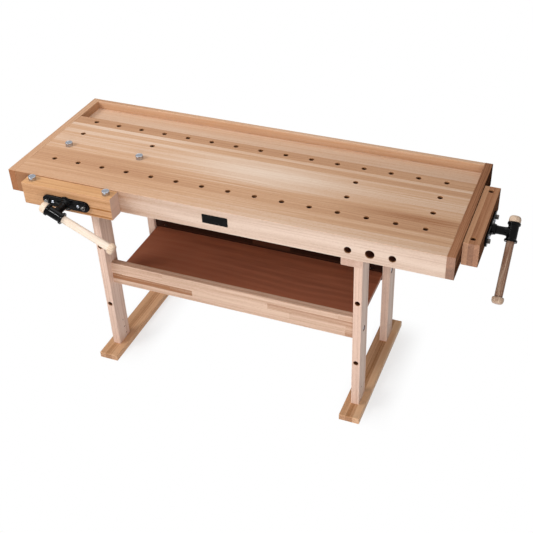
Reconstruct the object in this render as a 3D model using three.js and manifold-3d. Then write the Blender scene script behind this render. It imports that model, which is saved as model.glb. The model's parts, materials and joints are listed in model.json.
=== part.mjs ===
// A woodworking bench with a front vise and a tail vise. A laminated top with rows of dog holes and
// a tool tray rests on two trestles, which two rails and a low shelf tie together.
// Millimetres, +Z up. The bench is drawn with x from the left end of its top, y from the front face
// and z from the floor, and is then moved so that the origin lies on the floor under its middle.

import * as THREE from 'three';
import { mergeVertices } from 'three/addons/utils/BufferGeometryUtils.js';
import Module from 'manifold-3d';

const wasm = await Module();
wasm.setup();

// Top
const TOP_LENGTH = 1800;
const TOP_DEPTH = 660;
const BENCH_HEIGHT = 866;
const RIM_HEIGHT = 95;
const SLAB_THICKNESS = 36;
const STAVE_WIDTH = 54.5;
const SLAB_STAVES = 8;
const END_CAP_WIDTH = 30.5;
const REAR_RAIL_THICKNESS = 20;
const TRAY_FLOOR_THICKNESS = 12;
const TRAY_GROOVE_DEPTH = 8;
const TRAY_UNDER_SLAB = 12;
const BATTEN_WIDTH = 44;
const BATTEN_TO_DOG_HOLE = 4;

// Dog holes and dogs
const DOG_HOLE_RADIUS = 10;
const DOG_COLUMNS = 15;
const DOG_COLUMN_PITCH = 109.5;
const DOG_ROWS_TO_LEFT = 5;
const CROSS_COLUMNS = [0, 3, 11, 14];
const DOG_STEM_RADIUS = 9.25;
const DOG_STEM_LENGTH = 52;
const DOG_HEAD_RADIUS = 15;
const DOG_HEAD_HEIGHT = 16;
const DOG_CHAMFER = 1.5;

// Trestles
const LEG_WIDTH = 33;
const LEG_DEPTH = 85;
const FRONT_LEG_Y = 27;
const REAR_LEG_Y = 432;
const LEFT_LEG_X = 334.5;
const RIGHT_LEG_X = 1434;
const FOOT_WIDTH = 85;
const FOOT_THICKNESS = 28;
const FOOT_FRONT_OVERHANG = 77;
const FOOT_BACK_OVERHANG = 74;
const BEARER_WIDTH = 84;
const BEARER_HEIGHT = 53;
const TENON_WIDTH = 15;
const TENON_DEPTH = 57;
const TENON_LENGTH = 20;
const PEG_HOLE_HEIGHTS = [251, 551];

// Shelf
const RAIL_THICKNESS = 30;
const RAIL_HEIGHT = 105;
const RAIL_Z = 348;
const FRONT_RAIL_Y = 58;
const REAR_RAIL_Y = 447;
const SHELF_THICKNESS = 18;
const SHELF_TOP_Z = 388;
const SHELF_GROOVE_DEPTH = 8;
const SHELF_LEFT_X = 374;
const SHELF_RIGHT_X = 1432;

// Bolts that draw the rails to the legs, with a cross nut in each rail end
const BOLT_RADIUS = 4;
const BOLT_HEAD_RADIUS = 9;
const BOLT_HEAD_HEIGHT = 5;
const BOLT_CROWN_RADIUS = 6.3;
const BOLT_CROWN_HEIGHT = 3;
const BOLT_RECESS_RADIUS = 12;
const BOLT_RECESS_DEPTH = 7;
const BOLT_REACH = 62;
const CROSS_NUT_RADIUS = 7;
const CROSS_NUT_LENGTH = 24;
const CROSS_NUT_INSET = 50;

// Bolts from the bearers up into the fascia and the batten
const TOP_BOLT_LENGTH = 72;

// Vises, both alike
const JAW_LENGTH = 394;
const JAW_THICKNESS = 60;
const JAW_GAP = 1;
const JAW_SET_DOWN = 3;
const FRONT_VISE_X = 299;
const SPARE_VISE_X = 1498.5;
const SCREW_Z = 808;
const GUIDE_SPACING = 82;
const SCREW_BORE_RADIUS = 17;
const GUIDE_BORE_RADIUS = 13.5;
const SCREW_RADIUS = 12;
const SCREW_REACH = 330;
const GUIDE_RADIUS = 10;
const GUIDE_REACH = 320;
const GUIDE_STUD_RADIUS = 6;
const GUIDE_NUT_RADIUS = 9;
const GUIDE_NUT_HEIGHT = 9;
const GUIDE_SLOT_WIDTH = 3;
const GUIDE_SLOT_DEPTH = 3;
const GUIDE_SLOT_ANGLE = THREE.MathUtils.degToRad(60);
const FLANGE_LENGTH = 206;
const FLANGE_HEIGHT = 46;
const FLANGE_THICKNESS = 9;
const FLANGE_BOSS_HEIGHT = 16;
const FLANGE_BOSS_RADIUS = 19;
const FLANGE_BOSS_FOOT_RADIUS = 23;
const GUSSET_REACH = 46;
const GUSSET_THICKNESS = 9;
const FLANGE_SCREW_OFFSET = 56;
const FLANGE_SCREW_RADIUS = 3;
const FLANGE_SCREW_HEAD_RADIUS = 6.5;
const FLANGE_SCREW_HEAD_HEIGHT = 4;
const FLANGE_SCREW_CROWN_RADIUS = 4;
const FLANGE_SCREW_CROWN_DROP = 0.5;
const FLANGE_SCREW_RIM = 1.3;
const FLANGE_SCREW_LENGTH = 38;
const COLLAR_RADIUS = 18;
const COLLAR_THICKNESS = 8;
const COLLAR_POCKET_RADIUS = 21;
const COLLAR_POCKET_DEPTH = 10;
const NECK_RADIUS = 16;
const SLEEVE_STANDOFF = 83;
const SLEEVE_RADIUS = 19.5;
const SLEEVE_HALF_LENGTH = 36.5;
const SLEEVE_RIM_RADIUS = 24;
const SLEEVE_RIM_LENGTH = 9;
const SLEEVE_BORE_RADIUS = 15.75;
const NUT_PLATE_LENGTH = 206;
const NUT_PLATE_THICKNESS = 10;
const NUT_PLATE_RISE = 18;
const NUT_PLATE_DROP = 28;
const NUT_BOSS_RADIUS = 18;
const NUT_BOSS_LENGTH = 45;
const GUIDE_BOSS_RADIUS = 15;
const GUIDE_BOSS_LENGTH = 60;

// Handles
const HANDLE_RADIUS = 15;
const HANDLE_REACH = 266;
const KNOB_RADIUS = 22;
const KNOB_LENGTH = 25;
const KNOB_ROUNDING = 6;
const KNOB_ARC_STEPS = 2;
const KNOB_SOCKET_DEPTH = 19;
const FRONT_HANDLE_ANGLE = THREE.MathUtils.degToRad(-25.5);
const TAIL_HANDLE_ANGLE = THREE.MathUtils.degToRad(224);

// Edges and fits
const EASED_EDGE = 2;
const SMALL_CHAMFER = 1;
const FIT_GAP = 0.3;
const RUNNING_GAP = 0.5;
const OVERSHOOT = 5;
const ROUND_SEGMENTS = 16;
const SMALL_SEGMENTS = 12;
const SCREW_SEGMENTS = 8;

// Heights and places that follow from the sizes above
const RIM_Z = BENCH_HEIGHT - RIM_HEIGHT;
const SLAB_Z = BENCH_HEIGHT - SLAB_THICKNESS;
const SLAB_BACK = STAVE_WIDTH * (SLAB_STAVES + 1);
const BOARD_LEFT = END_CAP_WIDTH;
const BOARD_LENGTH = TOP_LENGTH - 2 * END_CAP_WIDTH;
const TRAY_BACK = TOP_DEPTH - REAR_RAIL_THICKNESS;
const BEARER_Z = RIM_Z - BEARER_HEIGHT;
const TRESTLE_DEPTH = REAR_LEG_Y + LEG_DEPTH - FRONT_LEG_Y;
const DOG_MIDDLE_X = TOP_LENGTH / 2 - DOG_ROWS_TO_LEFT;
const dogColumnX = (index) => DOG_MIDDLE_X + (index - (DOG_COLUMNS - 1) / 2) * DOG_COLUMN_PITCH;
const dogRowY = (stave) => (stave + 0.5) * STAVE_WIDTH;
const FRONT_DOG_STAVE = 2;
const CROSS_DOG_STAVES = [4, 6];
const REAR_DOG_STAVE = 8;
const BATTEN_BACK = dogRowY(REAR_DOG_STAVE) - DOG_HOLE_RADIUS - BATTEN_TO_DOG_HOLE;
const BATTEN_MIDDLE_Y = BATTEN_BACK - BATTEN_WIDTH / 2;
const TAIL_VISE_Y = (dogRowY(FRONT_DOG_STAVE) + dogRowY(REAR_DOG_STAVE)) / 2;
const FRONT_JAW_DOG = (dogColumnX(3) - dogColumnX(0)) / 2;
const TAIL_JAW_DOG = (dogRowY(REAR_DOG_STAVE) - dogRowY(FRONT_DOG_STAVE)) / 2;

const topBoltX = (legX) => legX - (BEARER_WIDTH - LEG_WIDTH) / 2;
const FRONT_BOLT_Y = (FRONT_LEG_Y + STAVE_WIDTH) / 2;

// Finishes
const finish = (color, roughness, metalness) => () =>
  new THREE.MeshStandardMaterial({ color, roughness, metalness });
const topBeech = finish(0xc09468, 0.55, 0);
const fasciaBeech = finish(0xe0c4a8, 0.55, 0);
const capBeech = finish(0x96694a, 0.55, 0);
const trayBeech = finish(0xb88c60, 0.6, 0);
const trestleBeech = finish(0xd8b090, 0.55, 0);
const shelfBoard = finish(0x6a3c28, 0.6, 0);
const jawBeech = finish(0xc49a6c, 0.5, 0);
const handleBeech = finish(0xe2c49c, 0.45, 0);
const castIron = finish(0x141414, 0.35, 0.3);
const brightSteel = finish(0xb8b8bc, 0.3, 1);
const darkSteel = finish(0x3a3836, 0.4, 0.9);

// Solid modelling

function toSolid(geometry) {
  const bare = geometry.clone();
  bare.deleteAttribute('normal');
  bare.deleteAttribute('uv');
  const welded = mergeVertices(bare);
  const corners = welded.index.array;
  const triangles = [];
  for (let i = 0; i < corners.length; i += 3) {
    const [a, b, c] = [corners[i], corners[i + 1], corners[i + 2]];
    if (a !== b && b !== c && c !== a) triangles.push(a, b, c);
  }
  return new wasm.Manifold(new wasm.Mesh({
    numProp: 3,
    vertProperties: welded.attributes.position.array,
    triVerts: new Uint32Array(triangles),
  }));
}

function toGeometry(solid) {
  const mesh = solid.getMesh();
  const geometry = new THREE.BufferGeometry();
  geometry.setAttribute('position', new THREE.BufferAttribute(mesh.vertProperties, 3));
  geometry.setIndex(new THREE.BufferAttribute(mesh.triVerts, 1));
  geometry.computeVertexNormals();
  return geometry;
}

function cut(body, tools) {
  return toGeometry(tools.reduce((solid, tool) => solid.subtract(toSolid(tool)), toSolid(body)));
}

function join(bodies) {
  return toGeometry(bodies.map(toSolid).reduce((whole, solid) => whole.add(solid)));
}

// Shapes. An extrusion's outline is drawn in the two axes that follow its own in the order x, y, z.

const AXIS = {
  x: new THREE.Vector3(1, 0, 0),
  y: new THREE.Vector3(0, 1, 0),
  z: new THREE.Vector3(0, 0, 1),
};
const EXTRUDE_TURN = {
  x: new THREE.Matrix4().makeBasis(AXIS.y, AXIS.z, AXIS.x),
  y: new THREE.Matrix4().makeBasis(AXIS.z, AXIS.x, AXIS.y),
  z: new THREE.Matrix4(),
};

function extrudeAlong(axis, outline, length) {
  const shape = outline instanceof THREE.Shape
    ? outline
    : new THREE.Shape(outline.map(([u, v]) => new THREE.Vector2(u, v)));
  const geometry = new THREE.ExtrudeGeometry(shape, {
    depth: length,
    bevelEnabled: false,
    curveSegments: ROUND_SEGMENTS / 2,
  });
  return geometry.applyMatrix4(EXTRUDE_TURN[axis]);
}

// A rectangle from (0, 0) to (width, height) with its corners cut off
function easedOutline(width, height, ease = EASED_EDGE) {
  return [
    [ease, 0], [width - ease, 0], [width, ease], [width, height - ease],
    [width - ease, height], [ease, height], [0, height - ease], [0, ease],
  ];
}

// A block from the origin to its size, with all its edges eased
function easedBlock(width, depth, height, ease = EASED_EDGE) {
  const faces = [
    extrudeAlong('x', easedOutline(depth, height, ease), width),
    extrudeAlong('y', easedOutline(height, width, ease), depth),
    extrudeAlong('z', easedOutline(width, depth, ease), height),
  ];
  return toGeometry(faces.map(toSolid).reduce((whole, solid) => whole.intersect(solid)));
}

// A block from the origin to its size, with sharp edges
function block(width, depth, height) {
  return new THREE.BoxGeometry(width, depth, height).translate(width / 2, depth / 2, height / 2);
}

// A round bar along an axis, from its start for a length
function bar(axis, radius, length, [x, y, z], segments = ROUND_SEGMENTS) {
  const geometry = new THREE.CylinderGeometry(radius, radius, length, segments);
  geometry.translate(0, length / 2, 0);
  if (axis === 'x') geometry.rotateZ(-Math.PI / 2);
  if (axis === 'z') geometry.rotateX(Math.PI / 2);
  return geometry.translate(x, y, z);
}

// A turned piece about y, from points of radius and place along the axis
function turned(profile, segments = ROUND_SEGMENTS) {
  const points = profile.map(([radius, along]) => new THREE.Vector2(radius, along));
  return new THREE.LatheGeometry(points, segments);
}

function piece(parent, name, geometry, material, [x, y, z] = [0, 0, 0]) {
  const mesh = new THREE.Mesh(geometry, material());
  mesh.name = name;
  mesh.position.set(x, y, z);
  parent.add(mesh);
  return mesh;
}

// Top

function dogHole(x, y) {
  return bar('z', DOG_HOLE_RADIUS, SLAB_THICKNESS + 2 * OVERSHOOT, [x, y, -OVERSHOOT]);
}

// Three bores for a vise: a screw between two guide rods, through a wall of the given thickness
function viseBores(axis, thickness, placeAt) {
  return [-GUIDE_SPACING, 0, GUIDE_SPACING].map((offset) => {
    const radius = offset === 0 ? SCREW_BORE_RADIUS : GUIDE_BORE_RADIUS;
    return bar(axis, radius, thickness + 2 * OVERSHOOT, placeAt(offset));
  });
}

// One glued-up board of the slab, from one stave to another, with holes at the given columns
function slabBoard(parent, name, firstStave, staves, holes) {
  const holeTools = holes.map(([column, stave]) =>
    dogHole(dogColumnX(column) - BOARD_LEFT, dogRowY(stave) - firstStave * STAVE_WIDTH));
  const plank = block(BOARD_LENGTH, staves * STAVE_WIDTH, SLAB_THICKNESS);
  const place = [BOARD_LEFT, firstStave * STAVE_WIDTH, SLAB_Z];
  piece(parent, name, cut(plank, holeTools), topBeech, place);
}

function addSlab(parent) {
  const columns = [...Array(DOG_COLUMNS).keys()];
  const rowHoles = (stave) => columns.map((column) => [column, stave]);
  const crossHoles = CROSS_DOG_STAVES.flatMap((stave) => CROSS_COLUMNS.map((column) => [column, stave]));
  slabBoard(parent, 'front_board', 1, 1, []);
  slabBoard(parent, 'front_dog_board', FRONT_DOG_STAVE, 1, rowHoles(FRONT_DOG_STAVE));
  slabBoard(parent, 'middle_board', 3, 5, crossHoles);
  slabBoard(parent, 'rear_dog_board', REAR_DOG_STAVE, 1, rowHoles(REAR_DOG_STAVE));
}

function addFascia(parent) {
  const outline = [
    [EASED_EDGE, 0], [STAVE_WIDTH, 0], [STAVE_WIDTH, RIM_HEIGHT],
    [EASED_EDGE, RIM_HEIGHT], [0, RIM_HEIGHT - EASED_EDGE], [0, EASED_EDGE],
  ];
  const bores = [FRONT_VISE_X, SPARE_VISE_X].flatMap((x) =>
    viseBores('y', STAVE_WIDTH, (offset) => [x + offset - BOARD_LEFT, -OVERSHOOT, SCREW_Z - RIM_Z]));
  const boltHoles = [LEFT_LEG_X, RIGHT_LEG_X].map((legX) =>
    topBoltHole(topBoltX(legX) - BOARD_LEFT, FRONT_BOLT_Y, BEARER_Z - RIM_Z));
  const beam = extrudeAlong('x', outline, BOARD_LENGTH);
  piece(parent, 'front_fascia', cut(beam, [...bores, ...boltHoles]), fasciaBeech, [BOARD_LEFT, 0, RIM_Z]);
}

// An end cap's outer edges are eased. Its inner face is flat against the boards.
function endCapOutline(outward) {
  const inner = outward < 0 ? END_CAP_WIDTH : 0;
  const outer = outward < 0 ? 0 : END_CAP_WIDTH;
  const eased = outer - outward * EASED_EDGE;
  const points = [
    [0, inner], [0, eased], [EASED_EDGE, outer],
    [RIM_HEIGHT - EASED_EDGE, outer], [RIM_HEIGHT, eased], [RIM_HEIGHT, inner],
  ];
  return outward < 0 ? points.reverse() : points;
}

function addEndCaps(parent) {
  const left = extrudeAlong('y', endCapOutline(-1), TOP_DEPTH);
  piece(parent, 'left_end_cap', left, capBeech, [0, 0, RIM_Z]);
  const bores = viseBores('x', END_CAP_WIDTH, (offset) =>
    [-OVERSHOOT, TAIL_VISE_Y + offset, SCREW_Z - RIM_Z]);
  const right = cut(extrudeAlong('y', endCapOutline(1), TOP_DEPTH), bores);
  piece(parent, 'right_end_cap', right, capBeech, [TOP_LENGTH - END_CAP_WIDTH, 0, RIM_Z]);
}

function addTray(parent) {
  const grooveTop = SLAB_Z - RIM_Z;
  const grooveFloor = grooveTop - TRAY_FLOOR_THICKNESS;
  const railOutline = [
    [0, 0], [REAR_RAIL_THICKNESS - EASED_EDGE, 0], [REAR_RAIL_THICKNESS, EASED_EDGE],
    [REAR_RAIL_THICKNESS, RIM_HEIGHT - EASED_EDGE], [REAR_RAIL_THICKNESS - EASED_EDGE, RIM_HEIGHT],
    [EASED_EDGE, RIM_HEIGHT], [0, RIM_HEIGHT - EASED_EDGE], [0, grooveTop],
    [TRAY_GROOVE_DEPTH, grooveTop], [TRAY_GROOVE_DEPTH, grooveFloor], [0, grooveFloor],
  ];
  const rail = extrudeAlong('x', railOutline, BOARD_LENGTH);
  piece(parent, 'rear_rail', rail, trayBeech, [BOARD_LEFT, TRAY_BACK, RIM_Z]);

  const floorFront = SLAB_BACK - TRAY_UNDER_SLAB;
  const floorDepth = TRAY_BACK + TRAY_GROOVE_DEPTH - floorFront;
  const floor = block(BOARD_LENGTH, floorDepth, TRAY_FLOOR_THICKNESS);
  piece(parent, 'tray_floor', floor, trayBeech, [BOARD_LEFT, floorFront, SLAB_Z - TRAY_FLOOR_THICKNESS]);
}

// The batten under the slab, clear of the dog holes, that rests on the bearers
function addBatten(parent) {
  const front = BATTEN_MIDDLE_Y - BATTEN_WIDTH / 2;
  const boltHoles = [LEFT_LEG_X, RIGHT_LEG_X].map((legX) =>
    topBoltHole(topBoltX(legX) - BOARD_LEFT, BATTEN_MIDDLE_Y - front, BEARER_Z - RIM_Z));
  const batten = cut(block(BOARD_LENGTH, BATTEN_WIDTH, SLAB_Z - RIM_Z), boltHoles);
  piece(parent, 'slab_batten', batten, trayBeech, [BOARD_LEFT, front, RIM_Z]);
}

// A bench dog with its head resting on the surface and its stem in the hole
function dogGeometry() {
  return turned([
    [0, -DOG_STEM_LENGTH], [DOG_STEM_RADIUS - DOG_CHAMFER, -DOG_STEM_LENGTH],
    [DOG_STEM_RADIUS, -DOG_STEM_LENGTH + DOG_CHAMFER], [DOG_STEM_RADIUS, 0],
    [DOG_HEAD_RADIUS, 0], [DOG_HEAD_RADIUS, DOG_HEAD_HEIGHT - DOG_CHAMFER],
    [DOG_HEAD_RADIUS - DOG_CHAMFER, DOG_HEAD_HEIGHT], [0, DOG_HEAD_HEIGHT],
  ]).rotateX(Math.PI / 2);
}

function addTopDogs(parent) {
  const row = dogRowY(CROSS_DOG_STAVES[0]);
  piece(parent, 'top_dog_1', dogGeometry(), brightSteel, [dogColumnX(CROSS_COLUMNS[0]), row, BENCH_HEIGHT]);
  piece(parent, 'top_dog_2', dogGeometry(), brightSteel, [dogColumnX(CROSS_COLUMNS[1]), row, BENCH_HEIGHT]);
}

function topBoltHole(x, y, z) {
  return bar('z', BOLT_RADIUS + RUNNING_GAP, TOP_BOLT_LENGTH + FIT_GAP, [x, y, z], SMALL_SEGMENTS);
}

// Trestles

// A leg with a tenon at each end, from the foot's top to the bearer's underside
function legGeometry(pegHoles, railBoltHeight, railBoltY, outward) {
  const height = BEARER_Z - FOOT_THICKNESS;
  const post = extrudeAlong('z', easedOutline(LEG_WIDTH, LEG_DEPTH), height);
  const tenon = block(TENON_WIDTH, TENON_DEPTH, height + 2 * TENON_LENGTH)
    .translate((LEG_WIDTH - TENON_WIDTH) / 2, (LEG_DEPTH - TENON_DEPTH) / 2, -TENON_LENGTH);
  const pegs = pegHoles.map((z) =>
    bar('y', DOG_HOLE_RADIUS, LEG_DEPTH + 2 * OVERSHOOT, [LEG_WIDTH / 2, -OVERSHOOT, z - FOOT_THICKNESS]));
  const boltZ = railBoltHeight - FOOT_THICKNESS;
  const boltRoom = LEG_WIDTH + 2 * OVERSHOOT;
  const boltStart = [-OVERSHOOT, railBoltY, boltZ];
  const boltHole = bar('x', BOLT_RADIUS + RUNNING_GAP, boltRoom, boltStart, SMALL_SEGMENTS);
  const recessX = outward > 0 ? LEG_WIDTH - BOLT_RECESS_DEPTH : -OVERSHOOT;
  const recess = bar('x', BOLT_RECESS_RADIUS, BOLT_RECESS_DEPTH + OVERSHOOT, [recessX, railBoltY, boltZ]);
  return cut(join([post, tenon]), [...pegs, boltHole, recess]);
}

// A mortise for a leg's tenon, open at the face that the leg stands against
function mortise(x, y, z) {
  const room = 2 * FIT_GAP;
  return block(TENON_WIDTH + room, TENON_DEPTH + room, TENON_LENGTH + FIT_GAP + OVERSHOOT)
    .translate(x - TENON_WIDTH / 2 - FIT_GAP, y - TENON_DEPTH / 2 - FIT_GAP, z);
}

function addTrestle(parent, side, legX, outward) {
  const legMiddle = legX + LEG_WIDTH / 2;
  const legYs = [FRONT_LEG_Y, REAR_LEG_Y];
  const legMiddles = legYs.map((y) => y + LEG_DEPTH / 2);

  const footLength = FOOT_FRONT_OVERHANG + TRESTLE_DEPTH + FOOT_BACK_OVERHANG;
  const footPlace = [legMiddle - FOOT_WIDTH / 2, FRONT_LEG_Y - FOOT_FRONT_OVERHANG, 0];
  const footMortises = legMiddles.map((y) =>
    mortise(FOOT_WIDTH / 2, y - footPlace[1], FOOT_THICKNESS - TENON_LENGTH - FIT_GAP));
  const foot = cut(easedBlock(FOOT_WIDTH, footLength, FOOT_THICKNESS), footMortises);
  piece(parent, `${side}_foot`, foot, trestleBeech, footPlace);

  const bearerX = legX + LEG_WIDTH - BEARER_WIDTH;
  const bearerMortises = legMiddles.map((y) => mortise(legMiddle - bearerX, y - FRONT_LEG_Y, -OVERSHOOT));
  const boltHoles = [FRONT_BOLT_Y, BATTEN_MIDDLE_Y].map((y) =>
    topBoltHole(topBoltX(legX) - bearerX, y - FRONT_LEG_Y, -OVERSHOOT));
  const beam = extrudeAlong('y', easedOutline(BEARER_HEIGHT, BEARER_WIDTH), TRESTLE_DEPTH);
  const bearer = cut(beam, [...bearerMortises, ...boltHoles]);
  piece(parent, `${side}_bearer`, bearer, trestleBeech, [bearerX, FRONT_LEG_Y, BEARER_Z]);

  const railMiddle = RAIL_Z + RAIL_HEIGHT / 2;
  const legs = [
    ['front', FRONT_LEG_Y, PEG_HOLE_HEIGHTS, FRONT_RAIL_Y],
    ['rear', REAR_LEG_Y, [], REAR_RAIL_Y],
  ];
  for (const [end, legY, pegHoles, railY] of legs) {
    const leg = legGeometry(pegHoles, railMiddle, railY + RAIL_THICKNESS / 2 - legY, outward);
    piece(parent, `${side}_${end}_leg`, leg, trestleBeech, [legX, legY, FOOT_THICKNESS]);
  }
}

// A bolt along y with a domed head. The head's underside is at the origin and its shank points to +y.
function boltGeometry(length) {
  const rim = BOLT_HEAD_HEIGHT - BOLT_CROWN_HEIGHT;
  return turned([
    [0, -BOLT_HEAD_HEIGHT], [BOLT_CROWN_RADIUS, -BOLT_HEAD_HEIGHT], [BOLT_HEAD_RADIUS, -rim],
    [BOLT_HEAD_RADIUS, 0], [BOLT_RADIUS, 0], [BOLT_RADIUS, length], [0, length],
  ], SMALL_SEGMENTS);
}

function addTopBolts(parent, side, legX) {
  for (const [end, y] of [['front', FRONT_BOLT_Y], ['rear', BATTEN_MIDDLE_Y]]) {
    const bolt = boltGeometry(TOP_BOLT_LENGTH).rotateX(Math.PI / 2);
    piece(parent, `${side}_${end}_top_bolt`, bolt, darkSteel, [topBoltX(legX), y, BEARER_Z - FIT_GAP]);
  }
}

// Shelf

function addShelfRail(parent, end, railY, grooveSide) {
  const left = LEFT_LEG_X + LEG_WIDTH;
  const length = RIGHT_LEG_X - left;
  const grooveTop = SHELF_TOP_Z - RAIL_Z + FIT_GAP;
  const grooveFloor = SHELF_TOP_Z - SHELF_THICKNESS - RAIL_Z - FIT_GAP;
  const beam = extrudeAlong('x', easedOutline(RAIL_THICKNESS, RAIL_HEIGHT), length);
  const grooveY = grooveSide > 0 ? RAIL_THICKNESS - SHELF_GROOVE_DEPTH : -OVERSHOOT;
  const groove = block(length + 2 * OVERSHOOT, SHELF_GROOVE_DEPTH + OVERSHOOT, grooveTop - grooveFloor)
    .translate(-OVERSHOOT, grooveY, grooveFloor);
  const middle = [RAIL_THICKNESS / 2, RAIL_HEIGHT / 2];
  const boltRoom = BOLT_REACH + OVERSHOOT;
  const boltHoles = [0, length].map((x) => {
    const start = x === 0 ? -OVERSHOOT : length - boltRoom;
    return bar('x', BOLT_RADIUS + RUNNING_GAP, boltRoom + OVERSHOOT, [start, ...middle], SMALL_SEGMENTS);
  });
  const nutHoles = [CROSS_NUT_INSET, length - CROSS_NUT_INSET].map((x) => {
    const depth = RAIL_THICKNESS / 2 + CROSS_NUT_LENGTH / 2 + FIT_GAP;
    const start = grooveSide > 0 ? RAIL_THICKNESS - depth : -OVERSHOOT;
    const place = [x, start, middle[1]];
    return bar('y', CROSS_NUT_RADIUS + RUNNING_GAP, depth + OVERSHOOT, place, SMALL_SEGMENTS);
  });
  piece(parent, `${end}_shelf_rail`, cut(beam, [groove, ...boltHoles, ...nutHoles]), trestleBeech,
    [left, railY, RAIL_Z]);
}

function addShelf(parent) {
  addShelfRail(parent, 'front', FRONT_RAIL_Y, 1);
  addShelfRail(parent, 'rear', REAR_RAIL_Y, -1);
  const tongue = SHELF_GROOVE_DEPTH - FIT_GAP;
  const front = FRONT_RAIL_Y + RAIL_THICKNESS - tongue;
  const depth = REAR_RAIL_Y + tongue - front;
  const panel = block(SHELF_RIGHT_X - SHELF_LEFT_X, depth, SHELF_THICKNESS);
  piece(parent, 'shelf_panel', panel, shelfBoard, [SHELF_LEFT_X, front, SHELF_TOP_Z - SHELF_THICKNESS]);
}

function crossNutGeometry() {
  const nut = bar('y', CROSS_NUT_RADIUS, CROSS_NUT_LENGTH, [0, -CROSS_NUT_LENGTH / 2, 0], SMALL_SEGMENTS);
  const reach = CROSS_NUT_RADIUS + OVERSHOOT;
  return cut(nut, [bar('x', BOLT_RADIUS + FIT_GAP, 2 * reach, [-reach, 0, 0], SMALL_SEGMENTS)]);
}

// One bolt and one cross nut for each end of each rail
function addRailFasteners(parent) {
  const z = RAIL_Z + RAIL_HEIGHT / 2;
  const left = LEFT_LEG_X + LEG_WIDTH;
  const ends = [
    ['left', 1, LEFT_LEG_X + BOLT_RECESS_DEPTH, left + CROSS_NUT_INSET],
    ['right', -1, RIGHT_LEG_X + LEG_WIDTH - BOLT_RECESS_DEPTH, RIGHT_LEG_X - CROSS_NUT_INSET],
  ];
  const rails = [['front', FRONT_RAIL_Y], ['rear', REAR_RAIL_Y]];
  for (const [side, inward, headX, nutX] of ends) {
    for (const [end, railY] of rails) {
      const y = railY + RAIL_THICKNESS / 2;
      const length = LEG_WIDTH - BOLT_RECESS_DEPTH + BOLT_REACH;
      const bolt = boltGeometry(length).rotateZ(-inward * Math.PI / 2);
      piece(parent, `${side}_${end}_rail_bolt`, bolt, darkSteel, [headX - inward * FIT_GAP, y, z]);
      piece(parent, `${side}_${end}_cross_nut`, crossNutGeometry(), darkSteel, [nutX, y, z]);
    }
  }
}

// Vises. A vise is drawn as the front one: the screw lies on the y axis, x runs along the jaw, and
// the wall that the jaw closes against has its outer face at y = 0, with the bench at +y.

const JAW_BACK = -JAW_GAP;
const JAW_FRONT = JAW_BACK - JAW_THICKNESS;
const JAW_MIDDLE = (JAW_FRONT + JAW_BACK) / 2;
const FLANGE_BACK = JAW_FRONT - FIT_GAP;
const FLANGE_FRONT = FLANGE_BACK - FLANGE_THICKNESS;
const BOSS_FRONT = FLANGE_FRONT - FLANGE_BOSS_HEIGHT;
const SLEEVE_Y = JAW_FRONT - SLEEVE_STANDOFF;
const JAW_DROP = SCREW_Z - RIM_Z + JAW_SET_DOWN;
const guideOffsets = [-GUIDE_SPACING, GUIDE_SPACING];
const flangeScrewOffsets = [-FLANGE_SCREW_OFFSET, FLANGE_SCREW_OFFSET];

function jawGeometry(dogOffset) {
  const body = easedBlock(JAW_LENGTH, JAW_THICKNESS, RIM_HEIGHT)
    .translate(-JAW_LENGTH / 2, JAW_FRONT, -JAW_DROP);
  const through = JAW_THICKNESS + 2 * OVERSHOOT;
  const start = JAW_FRONT - OVERSHOOT;
  const dogs = [-dogOffset, dogOffset].map((x) =>
    bar('z', DOG_HOLE_RADIUS, RIM_HEIGHT + 2 * OVERSHOOT, [x, JAW_MIDDLE, -JAW_DROP - OVERSHOOT]));
  const guides = guideOffsets.map((x) =>
    bar('y', GUIDE_RADIUS + RUNNING_GAP, through, [x, start, 0]));
  const screws = flangeScrewOffsets.map((x) =>
    bar('y', FLANGE_SCREW_RADIUS + RUNNING_GAP, FLANGE_SCREW_LENGTH, [x, start, 0], SCREW_SEGMENTS));
  const screw = bar('y', SCREW_RADIUS + 2 * RUNNING_GAP, through, [0, start, 0]);
  const pocket = bar('y', COLLAR_POCKET_RADIUS, COLLAR_POCKET_DEPTH + OVERSHOOT, [0, start, 0]);
  return cut(body, [...dogs, ...guides, ...screws, screw, pocket]);
}

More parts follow.
